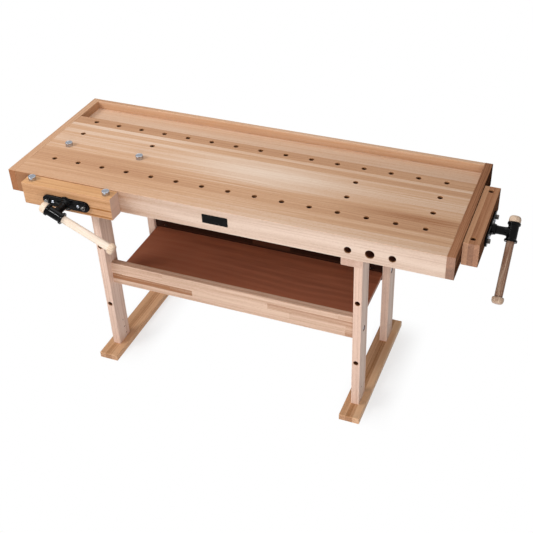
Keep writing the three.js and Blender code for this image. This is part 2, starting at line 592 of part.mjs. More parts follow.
// The cast flange: a plate with round ends, a coned boss for the screw and two gussets that stiffen it
function flangeGeometry() {
  const half = FLANGE_HEIGHT / 2;
  const reach = FLANGE_LENGTH / 2 - half;
  const outline = new THREE.Shape();
  outline.moveTo(-half, -reach);
  outline.absarc(0, -reach, half, Math.PI, 2 * Math.PI, false);
  outline.absarc(0, reach, half, 0, Math.PI, false);
  outline.closePath();
  const plate = extrudeAlong('y', outline, FLANGE_THICKNESS).translate(0, FLANGE_FRONT, 0);
  const middle = FLANGE_FRONT + FLANGE_THICKNESS / 2;
  const boss = turned([
    [0, BOSS_FRONT], [FLANGE_BOSS_RADIUS - EASED_EDGE, BOSS_FRONT],
    [FLANGE_BOSS_RADIUS, BOSS_FRONT + EASED_EDGE], [FLANGE_BOSS_FOOT_RADIUS - EASED_EDGE, FLANGE_FRONT],
    [FLANGE_BOSS_FOOT_RADIUS - EASED_EDGE, middle], [0, middle],
  ]);
  const crest = FLANGE_BOSS_RADIUS / 2;
  const gusset = extrudeAlong('z', [
    [GUSSET_REACH, middle], [-GUSSET_REACH, middle], [-GUSSET_REACH, FLANGE_FRONT],
    [-crest, BOSS_FRONT + EASED_EDGE], [crest, BOSS_FRONT + EASED_EDGE], [GUSSET_REACH, FLANGE_FRONT],
  ], GUSSET_THICKNESS).translate(0, 0, -GUSSET_THICKNESS / 2);
  const through = JAW_FRONT - BOSS_FRONT + 2 * OVERSHOOT;
  const start = BOSS_FRONT - OVERSHOOT;
  const bores = [
    bar('y', SCREW_RADIUS + RUNNING_GAP, through, [0, start, 0]),
    ...guideOffsets.map((x) => bar('y', GUIDE_STUD_RADIUS + RUNNING_GAP, through, [x, start, 0])),
    ...flangeScrewOffsets.map((x) =>
      bar('y', FLANGE_SCREW_RADIUS + RUNNING_GAP, through, [x, start, 0], SCREW_SEGMENTS)),
  ];
  return cut(join([plate, boss, gusset]), bores);
}

// A guide rod shouldered behind the flange, with a stud through it and a slotted round nut in front
function guideRodGeometry() {
  const nutBack = FLANGE_FRONT - FIT_GAP;
  const nutFront = nutBack - GUIDE_NUT_HEIGHT;
  const rod = turned([
    [0, nutFront], [GUIDE_NUT_RADIUS - SMALL_CHAMFER, nutFront], [GUIDE_NUT_RADIUS, nutFront + SMALL_CHAMFER],
    [GUIDE_NUT_RADIUS, nutBack], [GUIDE_STUD_RADIUS, nutBack], [GUIDE_STUD_RADIUS, FLANGE_BACK + FIT_GAP],
    [GUIDE_RADIUS, FLANGE_BACK + FIT_GAP], [GUIDE_RADIUS, GUIDE_REACH - EASED_EDGE],
    [GUIDE_RADIUS - EASED_EDGE, GUIDE_REACH], [0, GUIDE_REACH],
  ]);
  const slotReach = GUIDE_NUT_RADIUS + OVERSHOOT;
  const slot = block(2 * slotReach, GUIDE_SLOT_DEPTH + OVERSHOOT, GUIDE_SLOT_WIDTH)
    .translate(-slotReach, nutFront - OVERSHOOT, -GUIDE_SLOT_WIDTH / 2);
  return cut(rod, [slot.rotateY(GUIDE_SLOT_ANGLE)]);
}

// A round-headed wood screw with a pointed end
function flangeScrewGeometry() {
  const seat = FLANGE_FRONT - FIT_GAP;
  const crown = seat - FLANGE_SCREW_HEAD_HEIGHT;
  const rim = seat - FLANGE_SCREW_RIM;
  const tip = seat + FLANGE_SCREW_LENGTH;
  return turned([
    [0, crown], [FLANGE_SCREW_CROWN_RADIUS, crown + FLANGE_SCREW_CROWN_DROP], [FLANGE_SCREW_HEAD_RADIUS, rim],
    [FLANGE_SCREW_HEAD_RADIUS, seat], [FLANGE_SCREW_RADIUS, seat],
    [FLANGE_SCREW_RADIUS, tip - 2 * FLANGE_SCREW_RADIUS], [0, tip],
  ], SMALL_SEGMENTS);
}

// Turns a piece drawn about y so that its axis lies across the screw, at the handle's angle
function acrossScrew(geometry, angle) {
  return geometry.rotateZ(-Math.PI / 2).rotateY(-angle).translate(0, SLEEVE_Y, 0);
}

// The screw, its neck and the rimmed T sleeve that the handle slides in, in one piece
function spindleGeometry(angle) {
  const neckBack = BOSS_FRONT - FIT_GAP;
  const shaft = turned([
    [0, SLEEVE_Y], [NECK_RADIUS, SLEEVE_Y], [NECK_RADIUS, neckBack], [SCREW_RADIUS, neckBack],
    [SCREW_RADIUS, SCREW_REACH - EASED_EDGE], [SCREW_RADIUS - EASED_EDGE, SCREW_REACH], [0, SCREW_REACH],
  ]);
  const rimInner = SLEEVE_HALF_LENGTH - SLEEVE_RIM_LENGTH;
  const waist = rimInner - EASED_EDGE;
  const sleeve = acrossScrew(turned([
    [0, -SLEEVE_HALF_LENGTH], [SLEEVE_RIM_RADIUS - EASED_EDGE, -SLEEVE_HALF_LENGTH],
    [SLEEVE_RIM_RADIUS, -SLEEVE_HALF_LENGTH + EASED_EDGE], [SLEEVE_RIM_RADIUS, -rimInner],
    [SLEEVE_RADIUS, -waist], [SLEEVE_RADIUS, waist],
    [SLEEVE_RIM_RADIUS, rimInner], [SLEEVE_RIM_RADIUS, SLEEVE_HALF_LENGTH - EASED_EDGE],
    [SLEEVE_RIM_RADIUS - EASED_EDGE, SLEEVE_HALF_LENGTH], [0, SLEEVE_HALF_LENGTH],
  ]), angle);
  const boreLength = 2 * (SLEEVE_HALF_LENGTH + OVERSHOOT);
  const bore = acrossScrew(
    bar('y', SLEEVE_BORE_RADIUS, boreLength, [0, -boreLength / 2, 0]), angle);
  return cut(join([shaft, sleeve]), [bore]);
}

// The collar pinned on the screw behind the flange, which draws the jaw open
function collarGeometry() {
  const front = FLANGE_BACK + FIT_GAP + RUNNING_GAP;
  const back = front + COLLAR_THICKNESS;
  const bore = SCREW_RADIUS + RUNNING_GAP;
  return turned([
    [bore, front], [bore, back], [COLLAR_RADIUS - SMALL_CHAMFER, back], [COLLAR_RADIUS, back - SMALL_CHAMFER],
    [COLLAR_RADIUS, front + SMALL_CHAMFER], [COLLAR_RADIUS - SMALL_CHAMFER, front], [bore, front],
  ].reverse());
}

// The plate behind the wall, with the nut for the screw and a boss for each guide rod
function nutPlateGeometry(wallThickness) {
  const front = wallThickness + FIT_GAP;
  const plate = block(NUT_PLATE_LENGTH, NUT_PLATE_THICKNESS, NUT_PLATE_RISE + NUT_PLATE_DROP)
    .translate(-NUT_PLATE_LENGTH / 2, front, -NUT_PLATE_DROP);
  const middle = front + NUT_PLATE_THICKNESS / 2;
  const bosses = [
    bar('y', NUT_BOSS_RADIUS, NUT_BOSS_LENGTH, [0, middle, 0]),
    ...guideOffsets.map((x) => bar('y', GUIDE_BOSS_RADIUS, GUIDE_BOSS_LENGTH, [x, middle, 0])),
  ];
  const through = GUIDE_BOSS_LENGTH + NUT_PLATE_THICKNESS + 2 * OVERSHOOT;
  const bores = [
    bar('y', SCREW_RADIUS + RUNNING_GAP, through, [0, front - OVERSHOOT, 0]),
    ...guideOffsets.map((x) =>
      bar('y', GUIDE_RADIUS + RUNNING_GAP, through, [x, front - OVERSHOOT, 0])),
  ];
  return cut(join([plate, ...bosses]), bores);
}

// Half of a knob's outline, from its inner face to its end, rounded at both edges
function knobProfile(start) {
  const end = start + KNOB_LENGTH;
  const arc = (centre, from) => [...Array(KNOB_ARC_STEPS + 1).keys()].map((i) => {
    const turn = from + (i / KNOB_ARC_STEPS) * Math.PI / 2;
    return [
      KNOB_RADIUS - KNOB_ROUNDING + KNOB_ROUNDING * Math.cos(turn),
      centre + KNOB_ROUNDING * Math.sin(turn),
    ];
  });
  return [...arc(start + KNOB_ROUNDING, -Math.PI / 2), ...arc(end - KNOB_ROUNDING, 0)];
}

// The handle bar with its far knob, and the near knob that is fixed on after the bar is in the sleeve
const KNOB_START = SLEEVE_HALF_LENGTH + FIT_GAP;
const BAR_START = -(KNOB_START + KNOB_SOCKET_DEPTH);

function handleGeometry(angle) {
  const farKnob = knobProfile(HANDLE_REACH - KNOB_LENGTH);
  return acrossScrew(turned([
    [0, BAR_START], [HANDLE_RADIUS, BAR_START], [HANDLE_RADIUS, farKnob[0][1]],
    ...farKnob.slice(1), [0, HANDLE_REACH],
  ]), angle);
}

function nearKnobGeometry(angle) {
  const bore = HANDLE_RADIUS + FIT_GAP;
  const socketEnd = -BAR_START + FIT_GAP;
  const outside = knobProfile(KNOB_START).slice(1);
  const mouth = [bore, KNOB_START];
  const socket = [[0, KNOB_START + KNOB_LENGTH], [0, socketEnd], [bore, socketEnd], mouth];
  return acrossScrew(turned([mouth, ...outside, ...socket]), angle + Math.PI);
}

function addVise(parent, side, { place, turn, wallThickness, handleAngle, dogOffset }) {
  const vise = new THREE.Group();
  vise.position.set(...place);
  vise.rotation.z = turn;
  parent.add(vise);
  piece(vise, `${side}_jaw`, jawGeometry(dogOffset), jawBeech);
  piece(vise, `${side}_flange`, flangeGeometry(), castIron);
  guideOffsets.forEach((x, i) =>
    piece(vise, `${side}_guide_rod_${i + 1}`, guideRodGeometry(), darkSteel, [x, 0, 0]));
  flangeScrewOffsets.forEach((x, i) =>
    piece(vise, `${side}_flange_screw_${i + 1}`, flangeScrewGeometry(), brightSteel, [x, 0, 0]));
  piece(vise, `${side}_spindle`, spindleGeometry(handleAngle), castIron);
  piece(vise, `${side}_screw_collar`, collarGeometry(), darkSteel);
  piece(vise, `${side}_nut_plate`, nutPlateGeometry(wallThickness), castIron);
  piece(vise, `${side}_handle`, handleGeometry(handleAngle), handleBeech);
  piece(vise, `${side}_near_knob`, nearKnobGeometry(handleAngle), handleBeech);
  return vise;
}

function addVises(parent) {
  const front = addVise(parent, 'front', {
    place: [FRONT_VISE_X, 0, SCREW_Z],
    turn: 0,
    wallThickness: STAVE_WIDTH,
    handleAngle: FRONT_HANDLE_ANGLE,
    dogOffset: FRONT_JAW_DOG,
  });
  [-FRONT_JAW_DOG, FRONT_JAW_DOG].forEach((x, i) => {
    piece(front, `jaw_dog_${i + 1}`, dogGeometry(), brightSteel, [x, JAW_MIDDLE, RIM_HEIGHT - JAW_DROP]);
  });
  addVise(parent, 'tail', {
    place: [TOP_LENGTH, TAIL_VISE_Y, SCREW_Z],
    turn: Math.PI / 2,
    wallThickness: END_CAP_WIDTH,
    handleAngle: TAIL_HANDLE_ANGLE,
    dogOffset: TAIL_JAW_DOG,
  });
}

const bench = new THREE.Group();
addFascia(bench);
addSlab(bench);
addEndCaps(bench);
addTray(bench);
addBatten(bench);
addTopDogs(bench);
addTrestle(bench, 'left', LEFT_LEG_X, -1);
addTrestle(bench, 'right', RIGHT_LEG_X, 1);
addTopBolts(bench, 'left', LEFT_LEG_X);
addTopBolts(bench, 'right', RIGHT_LEG_X);
addShelf(bench);
addRailFasteners(bench);
addVises(bench);

const box = new THREE.Box3().setFromObject(bench, true);
const middle = box.getCenter(new THREE.Vector3());
bench.position.set(-middle.x, -middle.y, -box.min.z);

export default bench;
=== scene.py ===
"""The looks of a woodworking bench with a front vise and a tail vise.

The bench's frame is loaded first. Operators then give its wooden pieces their finishes, put finely made
pieces in place of the coarse ones, and set the stage. Lengths are in millimetres where nothing else is said,
in the bench's own frame: x to the tail vise, y to the tool tray, z up from the floor.
"""

import json
import math
from dataclasses import dataclass

import bmesh
import bpy
from bpy.props import FloatProperty, FloatVectorProperty, IntProperty, PointerProperty
from mathutils import Matrix, Vector


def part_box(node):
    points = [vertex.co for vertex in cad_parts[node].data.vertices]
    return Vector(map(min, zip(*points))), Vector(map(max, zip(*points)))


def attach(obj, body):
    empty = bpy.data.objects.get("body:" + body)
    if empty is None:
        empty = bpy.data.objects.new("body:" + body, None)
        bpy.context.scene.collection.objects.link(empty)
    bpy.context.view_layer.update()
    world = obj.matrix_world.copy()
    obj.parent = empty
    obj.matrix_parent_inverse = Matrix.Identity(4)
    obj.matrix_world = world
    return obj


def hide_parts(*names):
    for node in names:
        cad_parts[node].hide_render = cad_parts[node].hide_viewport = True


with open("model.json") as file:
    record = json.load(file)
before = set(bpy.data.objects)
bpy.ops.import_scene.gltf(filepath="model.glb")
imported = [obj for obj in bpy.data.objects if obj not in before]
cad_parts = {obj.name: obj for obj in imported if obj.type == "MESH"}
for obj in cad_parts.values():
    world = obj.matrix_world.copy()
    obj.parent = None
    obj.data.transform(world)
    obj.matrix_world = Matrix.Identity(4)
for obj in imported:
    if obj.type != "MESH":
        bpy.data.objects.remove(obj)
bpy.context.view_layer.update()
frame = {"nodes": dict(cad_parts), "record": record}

bl_info = {
    "name": "Woodworking bench",
    "version": (1, 0, 0),
    "blender": (4, 5, 0),
    "location": "3D View > Sidebar > Bench",
    "description": "Finishes and fine pieces of a woodworking bench with two vises",
    "category": "Object",
}

MM = 0.001
NODES = frame["nodes"]
BODY_OF = {
    node: body
    for body, nodes in frame["record"]["behaviour"]["bodies"].items()
    for node in nodes
}

# Sizes of the bench's pieces
DOG_PITCH = 109.5
DOG_COLUMNS = range(15)
DOG_ROWS_TO_LEFT = 5
CROSS_COLUMNS = (0, 3, 11, 14)
DOG_STAVES = (2, 8)
CROSS_STAVES = (4, 6)
DOG_HOLE_RADIUS = 10
STAVE = 54.5
SCREW_BORE_RADIUS = 17
GUIDE_BORE_RADIUS = 13.5
GUIDE_SPACING = 82
FLANGE_SCREW_SPACING = 56
SPARE_VISE_TO_RIGHT_END = 301.5
PEG_HOLE_HEIGHTS = (251, 551)
PIN_HOLE_RADIUS = 2.6
PIN_HOLE_DEPTH = 8
BOLT_RECESS_RADIUS = 12
BOLT_RECESS_DEPTH = 7
BOLT_HEAD_RADIUS = 9
BOLT_HEAD_HEIGHT = 5
BOLT_RADIUS = 4
FLANGE_HALF_HEIGHT = 23
FLANGE_END_FROM_SCREW = 80
FLANGE_THICKNESS = 9
BOSS_HEIGHT = 25
GUIDE_RADIUS = 10
STUD_RADIUS = 6
NUT_RADIUS = 9
SCREW_RADIUS = 12
SCREW_CORE_RADIUS = 9
SLEEVE_STANDOFF = 83
SLEEVE_HALF_LENGTH = 36.5
SLEEVE_RIM_RADIUS = 24
SLEEVE_RADIUS = 19.5
SLEEVE_BORE_RADIUS = 15.75
HANDLE_RADIUS = 15
HANDLE_REACH = 266
KNOB_RADIUS = 22
KNOB_LENGTH = 25
DOG_HEAD_RADIUS = 15
DOG_HEAD_HEIGHT = 16
DOG_RADIUS = 9.25
DOG_NECK_RADIUS = 8.6
DOG_LENGTH = 52
HANDLE_ANGLES = {"front": math.radians(-25.5), "tail": math.radians(224)}
NAME_PLATE_FROM_LEFT = 900
NAME_PLATE_Z = 820.3

# A pin hole's distance behind the front of its leg, and its height
OUTER_PIN = (31, 101)
INNER_PINS = ((49, 128), (53, 88), (57, 50))

# Places along a vise's screw, from the outer face of the wall behind its jaw, negative outside the bench
JAW_FACE = -61
FLANGE_BACK = -61.3
HEAD_SEAT = -70.6
NUT_FACE = -80
BOSS_FACE = FLANGE_BACK - BOSS_HEIGHT
SLEEVE_MIDDLE = JAW_FACE - SLEEVE_STANDOFF
ROD_END = 320
SCREW_END = 328

# How far a drill starts outside a board, and the lengths of the drills that go right through
DRILL_LEAD = 10
SLAB_DRILL = 80
CAP_DRILL = 90
LEG_DRILL = 110
JAW_DRILL = 120

# How far the first strip starts before a board's edge, and how deep a mark on one face goes
STRIP_LEAD = 0.2
FACE_DEPTH = 1

# Beyond the ends of every board
FAR = 9000
WHOLE = (-FAR, FAR)

# Grain that all the woods share: the length and width of its features, the swing of its rings, its glue lines
LINE_LENGTH, LINE_WIDTH = 1300, 2.8
FIBRE_LENGTH, FIBRE_WIDTH = 26, 1.1
FLECK_LENGTH, FLECK_WIDTH = 7, 1.3
SWING_LENGTH, SWING_REACH = 380, 60
GLUE_LINE_WIDTH, GLUE_LINE_SHADE = 0.7, 0.1

# How far the floor goes each way
FLOOR_REACH = 20000

# Where each lamp stands, the point that it shines at, and its width and height, all in metres
LAMPS = {
    "key": ((-2.3, -1.7, 2.7), (0.0, 0.0, 0.8), (1.4, 1.2)),
    "fill": ((1.3, -3.6, 1.5), (0.0, 0.0, 0.4), (2.4, 1.4)),
    "overhead": ((-0.5, 0.5, 3.1), (-0.1, 0.0, 0.85), (2.0, 1.6)),
    "spark": ((-0.43, -2.0, 2.75), (-0.66, -0.45, 0.8), (0.24, 0.16)),
}


def millimetres(node):
    """A node's lowest and highest corners, in millimetres."""
    low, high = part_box(node)
    return low / MM, high / MM


def middle_of(node, axis):
    """The middle of a node along an axis, in millimetres."""
    low, high = millimetres(node)
    return (getattr(low, axis) + getattr(high, axis)) / 2


TOP_LEFT = millimetres("left_end_cap")[0].x
TOP_RIGHT = millimetres("right_end_cap")[1].x
TOP_FRONT = millimetres("front_fascia")[0].y
TOP_Z = millimetres("front_board")[1].z
RIM_Z = millimetres("front_fascia")[0].z
SLAB_FRONT = millimetres("front_board")[0].y
SCREW_Z = middle_of("front_guide_rod_1", "z")
FRONT_VISE_X = middle_of("front_jaw", "x")
TAIL_VISE_Y = middle_of("tail_jaw", "y")
SPARE_VISE_X = TOP_RIGHT - SPARE_VISE_TO_RIGHT_END
TOP_LENGTH = TOP_RIGHT - TOP_LEFT


def dog_column_x(column):
    """The x of a column of dog holes, counted from the left."""
    row_middle = (TOP_LEFT + TOP_RIGHT) / 2 - DOG_ROWS_TO_LEFT
    return row_middle + (column - (len(DOG_COLUMNS) - 1) / 2) * DOG_PITCH


def stave_middle_y(stave):
    """The y of the middle of a stave of the top, counted from the fascia, which is 0."""
    return TOP_FRONT + (stave + 0.5) * STAVE


def linear(hex_colour):
    """A colour written as 0xRRGGBB, as the linear numbers that shaders use."""
    parts = [(hex_colour >> shift & 255) / 255 for shift in (16, 8, 0)]
    return tuple(p / 12.92 if p <= 0.04045 else ((p + 0.055) / 1.055) ** 2.4 for p in parts)


# Settings


def colour_setting(name, description, hex_colour):
    """A colour that a user can change."""
    return FloatVectorProperty(
        name=name, description=description, default=linear(hex_colour), min=0, max=1, size=3, subtype="COLOR"
    )


def length_setting(name, description, millimetres_long):
    """A length that a user can change, kept in metres."""
    return FloatProperty(
        name=name, description=description, default=millimetres_long * MM, min=0, unit="LENGTH", precision=5
    )


def power_setting(name, description, watts):
    """A lamp's power that a user can change."""
    return FloatProperty(name=name, description=description, default=watts, min=0, unit="POWER")


def place_setting(name, description, metres):
    """A point that a user can change."""
    return FloatVectorProperty(
        name=name, description=description, default=metres, size=3, subtype="TRANSLATION", unit="LENGTH"
    )


class BenchColours(bpy.types.PropertyGroup):
    """The colours of the bench's finishes."""

    top_dark: colour_setting("Top, dark", "Darkest grain of the top, its left cap and its tray", 0x985F34)
    top_middle: colour_setting("Top", "Common colour of the top, its left cap and its tray", 0xCCA07C)
    top_pale: colour_setting("Top, pale", "Palest grain of the top, its left cap and its tray", 0xF0DCCA)
    fascia_dark: colour_setting("Fascia, dark", "Darkest grain of the front fascia", 0x9C6C48)
    fascia_middle: colour_setting("Fascia", "Common colour of the front fascia", 0xDAC2B1)
    fascia_pale: colour_setting("Fascia, pale", "Palest grain of the front fascia", 0xEEDCCE)
    cap_dark: colour_setting("Right cap, dark", "Darkest grain of the right cap and the tail jaw", 0x3C2216)
    cap_middle: colour_setting("Right cap", "Common colour of the right cap and the tail jaw", 0xAA7656)
    cap_pale: colour_setting("Right cap, pale", "Palest grain of the right cap and the tail jaw", 0xCEA07C)
    trestle_dark: colour_setting("Trestles, dark", "Darkest grain of the legs and the bearers", 0xA2745A)
    trestle_middle: colour_setting("Trestles", "Common colour of the legs and the bearers", 0xE2C3B1)
    trestle_pale: colour_setting("Trestles, pale", "Palest grain of the legs and the bearers", 0xF0DCCE)
    rail_dark: colour_setting("Front rail, dark", "Darkest grain of the front shelf rail", 0x9C6A48)
    rail_middle: colour_setting("Front rail", "Common colour of the front shelf rail", 0xD6B6A0)
    rail_pale: colour_setting("Front rail, pale", "Palest grain of the front shelf rail", 0xEBD3BC)
    foot_dark: colour_setting("Feet, dark", "Darkest grain of the feet and the front jaw", 0x96602F)
    foot_middle: colour_setting("Feet", "Common colour of the feet and the front jaw", 0xDAAC84)
    foot_pale: colour_setting("Feet, pale", "Palest grain of the feet and the front jaw", 0xE2BE98)
    # Painted shade: the rear rail's near-black colours stand in for the deep shade under the top
    stained_dark: colour_setting("Rear rail, dark", "Darkest grain of the rear shelf rail", 0x160B08)
    stained_middle: colour_setting("Rear rail", "Common colour of the rear shelf rail", 0x4A2A1E)
    stained_pale: colour_setting("Rear rail, pale", "Palest grain of the rear shelf rail", 0x6A4230)
    end_grain: colour_setting("End grain", "Tint of the boards' sawn ends", 0xCCAC9C)
    jaw_dark: colour_setting("Jaw top, dark", "Darkest grain of the front jaw's top", 0x7A4824)
    jaw_middle: colour_setting("Jaw top", "Common colour of the front jaw's top", 0xCC9868)
    jaw_pale: colour_setting("Jaw top, pale", "Palest grain of the front jaw's top", 0xE6C096)
    shelf_dark: colour_setting("Shelf, dark", "Darkest grain of the shelf", 0x5C3222)
    shelf_middle: colour_setting("Shelf", "Common colour of the shelf", 0xAE6A4E)
    shelf_pale: colour_setting("Shelf, pale", "Palest grain of the shelf", 0xB87A5C)
    handle_dark: colour_setting("Handles, dark", "Darkest grain of the handles", 0x744A34)
    handle_middle: colour_setting("Handles", "Common colour of the handles", 0xE2C8AE)
    handle_pale: colour_setting("Handles, pale", "Palest grain of the handles", 0xF4E8DC)
    bore: colour_setting("Holes", "Inside of the holes in the wood, near the rim", 0xA0704A)
    # Painted shade further into the holes
    bore_painted_shade: colour_setting("Holes, deep", "Inside of the holes in the wood, further in", 0x4A261A)
    paint: colour_setting("Paint", "Gloss paint of the castings, the nut plates and the name plate", 0x060607)
    plate: colour_setting("Zinc plate", "Plated dogs, flange screws and rail bolts", 0xB9BDC6)
    steel: colour_setting("Steel", "Screw collars and the front vise's guide rods", 0x8A8886)
    bolt: colour_setting("Bolts", "Blued top bolts, cross nuts and guide rods of the tail vise", 0x5A5652)


class BenchSizes(bpy.types.PropertyGroup):
    """The sizes of the bench's fine pieces."""

    wood_edge: length_setting("Wood edge", "Rounding of the boards' edges", 1.5)
    cast_edge: length_setting("Cast edge", "Rounding of the castings' edges", 2.2)
    thread_pitch: length_setting("Thread pitch", "Travel of a jaw for one turn of its screw", 6)
    thread_depth: length_setting("Thread depth", "Depth of the screws' thread", 2.4)
    plate_length: length_setting("Plate length", "Length of the name plate", 104)
    plate_height: length_setting("Plate height", "Height of the name plate", 38.5)
    plate_thickness: length_setting("Plate thickness", "How far the name plate stands out", 1.6)
    round_steps: IntProperty(
        name="Round steps", description="Facets round a turned piece", default=48, min=12, max=128
    )


class BenchStage(bpy.types.PropertyGroup):
    """The camera, the lamps and the floor."""

    camera_place: place_setting("Camera", "Where the camera stands", (1.2145, -2.7229, 2.6896))
    camera_aim: place_setting("Aim", "A point on the camera's axis", (0.15045, -0.0759, 0.62))
    camera_roll: FloatProperty(
        name="Roll", description="Turn of the camera about its axis", default=math.radians(-1.528),
        unit="ROTATION",
    )
    camera_lens: FloatProperty(
        name="Lens", description="Focal length for a 36 mm wide picture", default=61.13, min=1, unit="CAMERA"
    )
    camera_shift: FloatVectorProperty(
        name="Shift", description="Shift of the picture, as a share of its width",
        default=(-0.04667, -0.02897), size=2,
    )
    key_power: power_setting("Key lamp", "Power of the soft lamp over the left front corner", 58)
    fill_power: power_setting("Fill lamp", "Power of the low soft lamp in front", 90)
    overhead_power: power_setting("Overhead lamp", "Power of the wide soft lamp over the top", 28)
    spark_power: power_setting("Spark lamp", "Power of the small lamp that shines in the paint", 16)
    surround: FloatProperty(
        name="Surround", description="Strength of the even light from all sides", default=0.18, min=0
    )
    floor_glow: FloatProperty(
        name="Floor glow", default=0.66, min=0, max=1, subtype="FACTOR",
        description="Share of plain white in the floor beside the feet, as the camera sees it",
    )


# Shader expressions


class Flow:
    """A socket that takes part in arithmetic. Each operation on it adds one Math node."""

    def __init__(self, finish, socket):
        self.finish = finish
        self.socket = socket

    def out(self, name):
        """Another output of the same node."""
        return Flow(self.finish, self.socket.node.outputs[name])

    def math(self, operation, *values):
        """A Math node on these values."""
        return self.finish.node("ShaderNodeMath", {"operation": operation}, dict(enumerate(values)))

    def __add__(self, other):
        return self.math("ADD", self, other)

    def __radd__(self, other):
        return self.math("ADD", other, self)

    def __sub__(self, other):
        return self.math("SUBTRACT", self, other)

    def __rsub__(self, other):
        return self.math("SUBTRACT", other, self)

    def __mul__(self, other):
        return self.math("MULTIPLY", self, other)

    def __rmul__(self, other):
        return self.math("MULTIPLY", other, self)

    def __truediv__(self, other):
        return self.math("DIVIDE", self, other)

    def __pow__(self, other):
        return self.math("POWER", self, other)

    def floor(self):
        """The whole part."""
        return self.math("FLOOR", self)

    def fraction(self):
        """What is left of the whole part."""
        return self.math("FRACT", self)

    def size(self):
        """The value without its sign."""
        return self.math("ABSOLUTE", self)

    def root(self):
        """The square root."""
        return self.math("SQRT", self)

    def sine(self):
        """The sine."""
        return self.math("SINE", self)

    def rise(self, low, high):
        """A smooth step from 0 at low to 1 at high."""
        settings = {"interpolation_type": "SMOOTHSTEP"}
        sockets = {"Value": self, "From Min": low, "From Max": high}
        return self.finish.node("ShaderNodeMapRange", settings, sockets)

    def window(self, low, high, soft):
        """1 between low and high and 0 outside, with soft ends."""
        return self.rise(low - soft, low + soft) * (1 - self.rise(high - soft, high + soft))


class Finish:
    """A material, or a world, whose nodes are written as expressions."""

    def __init__(self, owner):
        self.owner = owner
        owner.use_nodes = True
        self.tree = owner.node_tree
        self.tree.nodes.clear()

    def node(self, kind, settings=None, sockets=None):
        """Adds a node: its settings first, then its sockets by name or place. Gives its first output."""
        made = self.tree.nodes.new(kind)
        for name, value in (settings or {}).items():
            if name == "stops":
                self._set_stops(made.color_ramp, value)
            elif name == "interpolation":
                made.color_ramp.interpolation = value
            else:
                setattr(made, name, value)
        inputs = [socket for socket in made.inputs if socket.enabled]
        for key, value in (sockets or {}).items():
            socket = inputs[key] if isinstance(key, int) else next(s for s in inputs if s.name == key)
            if isinstance(value, Flow):
                self.tree.links.new(value.socket, socket)
            else:
                socket.default_value = value
        outputs = [socket for socket in made.outputs if socket.enabled]
        return Flow(self, outputs[0]) if outputs else None

    @staticmethod
    def _set_stops(ramp, stops):
        """Gives a ramp its stops of position and colour."""
        while len(ramp.elements) < len(stops):
            ramp.elements.new(1)
        for element, (position, colour) in zip(ramp.elements, stops):
            element.position = position
            element.color = (*colour, 1)

    def place(self):
        """The three coordinates of the piece's own frame, in millimetres."""
        spot = self.node("ShaderNodeTexCoord").out("Object")
        parts = self.node("ShaderNodeSeparateXYZ", sockets={0: spot})
        return {axis: parts.out(axis.upper()) / MM for axis in "xyz"}

    def facing(self, axis):
        """How squarely the surface faces along an axis of the piece's own frame, from 0 to 1."""
        normal = self.node("ShaderNodeTexCoord").out("Normal")
        return self.node("ShaderNodeSeparateXYZ", sockets={0: normal}).out(axis.upper()).size()

    def vector(self, x, y, z):
        """A vector of three values."""
        return self.node("ShaderNodeCombineXYZ", sockets={0: x, 1: y, 2: z})

    def chance(self, x, y, z):
        """A random number from 0 to 1 for each set of three values."""
        sockets = {"Vector": self.vector(x, y, z)}
        return self.node("ShaderNodeTexWhiteNoise", {"noise_dimensions": "3D"}, sockets)

    def noise(self, x, y, z, detail=2.0, roughness=0.5):
        """Smooth noise about 0.5, with features about one unit long."""
        sockets = {"Vector": self.vector(x, y, z), "Scale": 1.0, "Detail": detail, "Roughness": roughness}
        return self.node("ShaderNodeTexNoise", {"noise_dimensions": "3D"}, sockets)

    def speckle(self, place, size, detail):
        """Smooth noise about 0.5, with features of a size in millimetres."""
        return self.noise(*(place[axis] / size for axis in "xyz"), detail)

    def ramp(self, value, stops, interpolation="LINEAR"):
        """A colour that changes with a value, through stops of position and colour."""
        settings = {"stops": stops, "interpolation": interpolation}
        return self.node("ShaderNodeValToRGB", settings, {"Fac": value})

    def blend(self, factor, first, second):
        """A mix of two colours."""
        return self.node("ShaderNodeMix", {"data_type": "RGBA"}, {"Factor": factor, "A": first, "B": second})

    def bump(self, height, strength, distance):
        """A normal from a height. The distance is in metres."""
        sockets = {"Height": height, "Strength": strength, "Distance": distance}
        return self.node("ShaderNodeBump", sockets=sockets)

    def seen(self):
        """1 for what the camera, a reflection or glass shows, and 0 for what only lights the bench."""
        path = self.node("ShaderNodeLightPath")
        shown = path.math("MAXIMUM", path.out("Is Camera Ray"), path.out("Is Glossy Ray"))
        return shown.math("MAXIMUM", shown, path.out("Is Transmission Ray"))

    def surface(self, sockets):
        """Ends the material in one Principled shader."""
        shader = self.node("ShaderNodeBsdfPrincipled", sockets=sockets)
        self.node("ShaderNodeOutputMaterial", sockets={"Surface": shader})
        return self.owner


# Wood


@dataclass(frozen=True)
class Mark:
    """A part of a board that is darker or paler than the rest: a range along the grain and one across it.

    Its sides are soft over one length and its ends fade over another.
    """

    along: tuple
    axis: str
    across: tuple
    tone: float
    soft: float = 0.4
    fade: float = 1.0


@dataclass(frozen=True)
class Wood:
    """How a group of pieces is sawn and glued up. Tones run from 0, dark, to 1, pale.

    Strips lie side by side. Where a board length is given, each strip is of several boards end to end.
    Where a crown is given, the wood above that height has those colours instead.
    """

    name: str
    colours: tuple
    grain: str = "x"
    across: str = "y"
    start: float = 0.0
    strip: float = STAVE
    tones: tuple = (0.5,)
    board: float = 0.0
    spread: float = 0.12
    streak: float = 0.55
    streak_length: float = 700.0
    streak_width: float = 9.0
    line: float = 0.3
    figure: float = 0.12
    fibre: float = 0.2
    fleck: float = 0.12
    ring: float = 5.5
    pith: float = 0.0
    end_shade: float = 0.1
    end_tint: float = 0.5
    roughness: float = 0.48
    gloss: float = 0.28
    salt: float = 0.0
    marks: tuple = ()
    crown: tuple = ()
    crown_from: float = 0.0


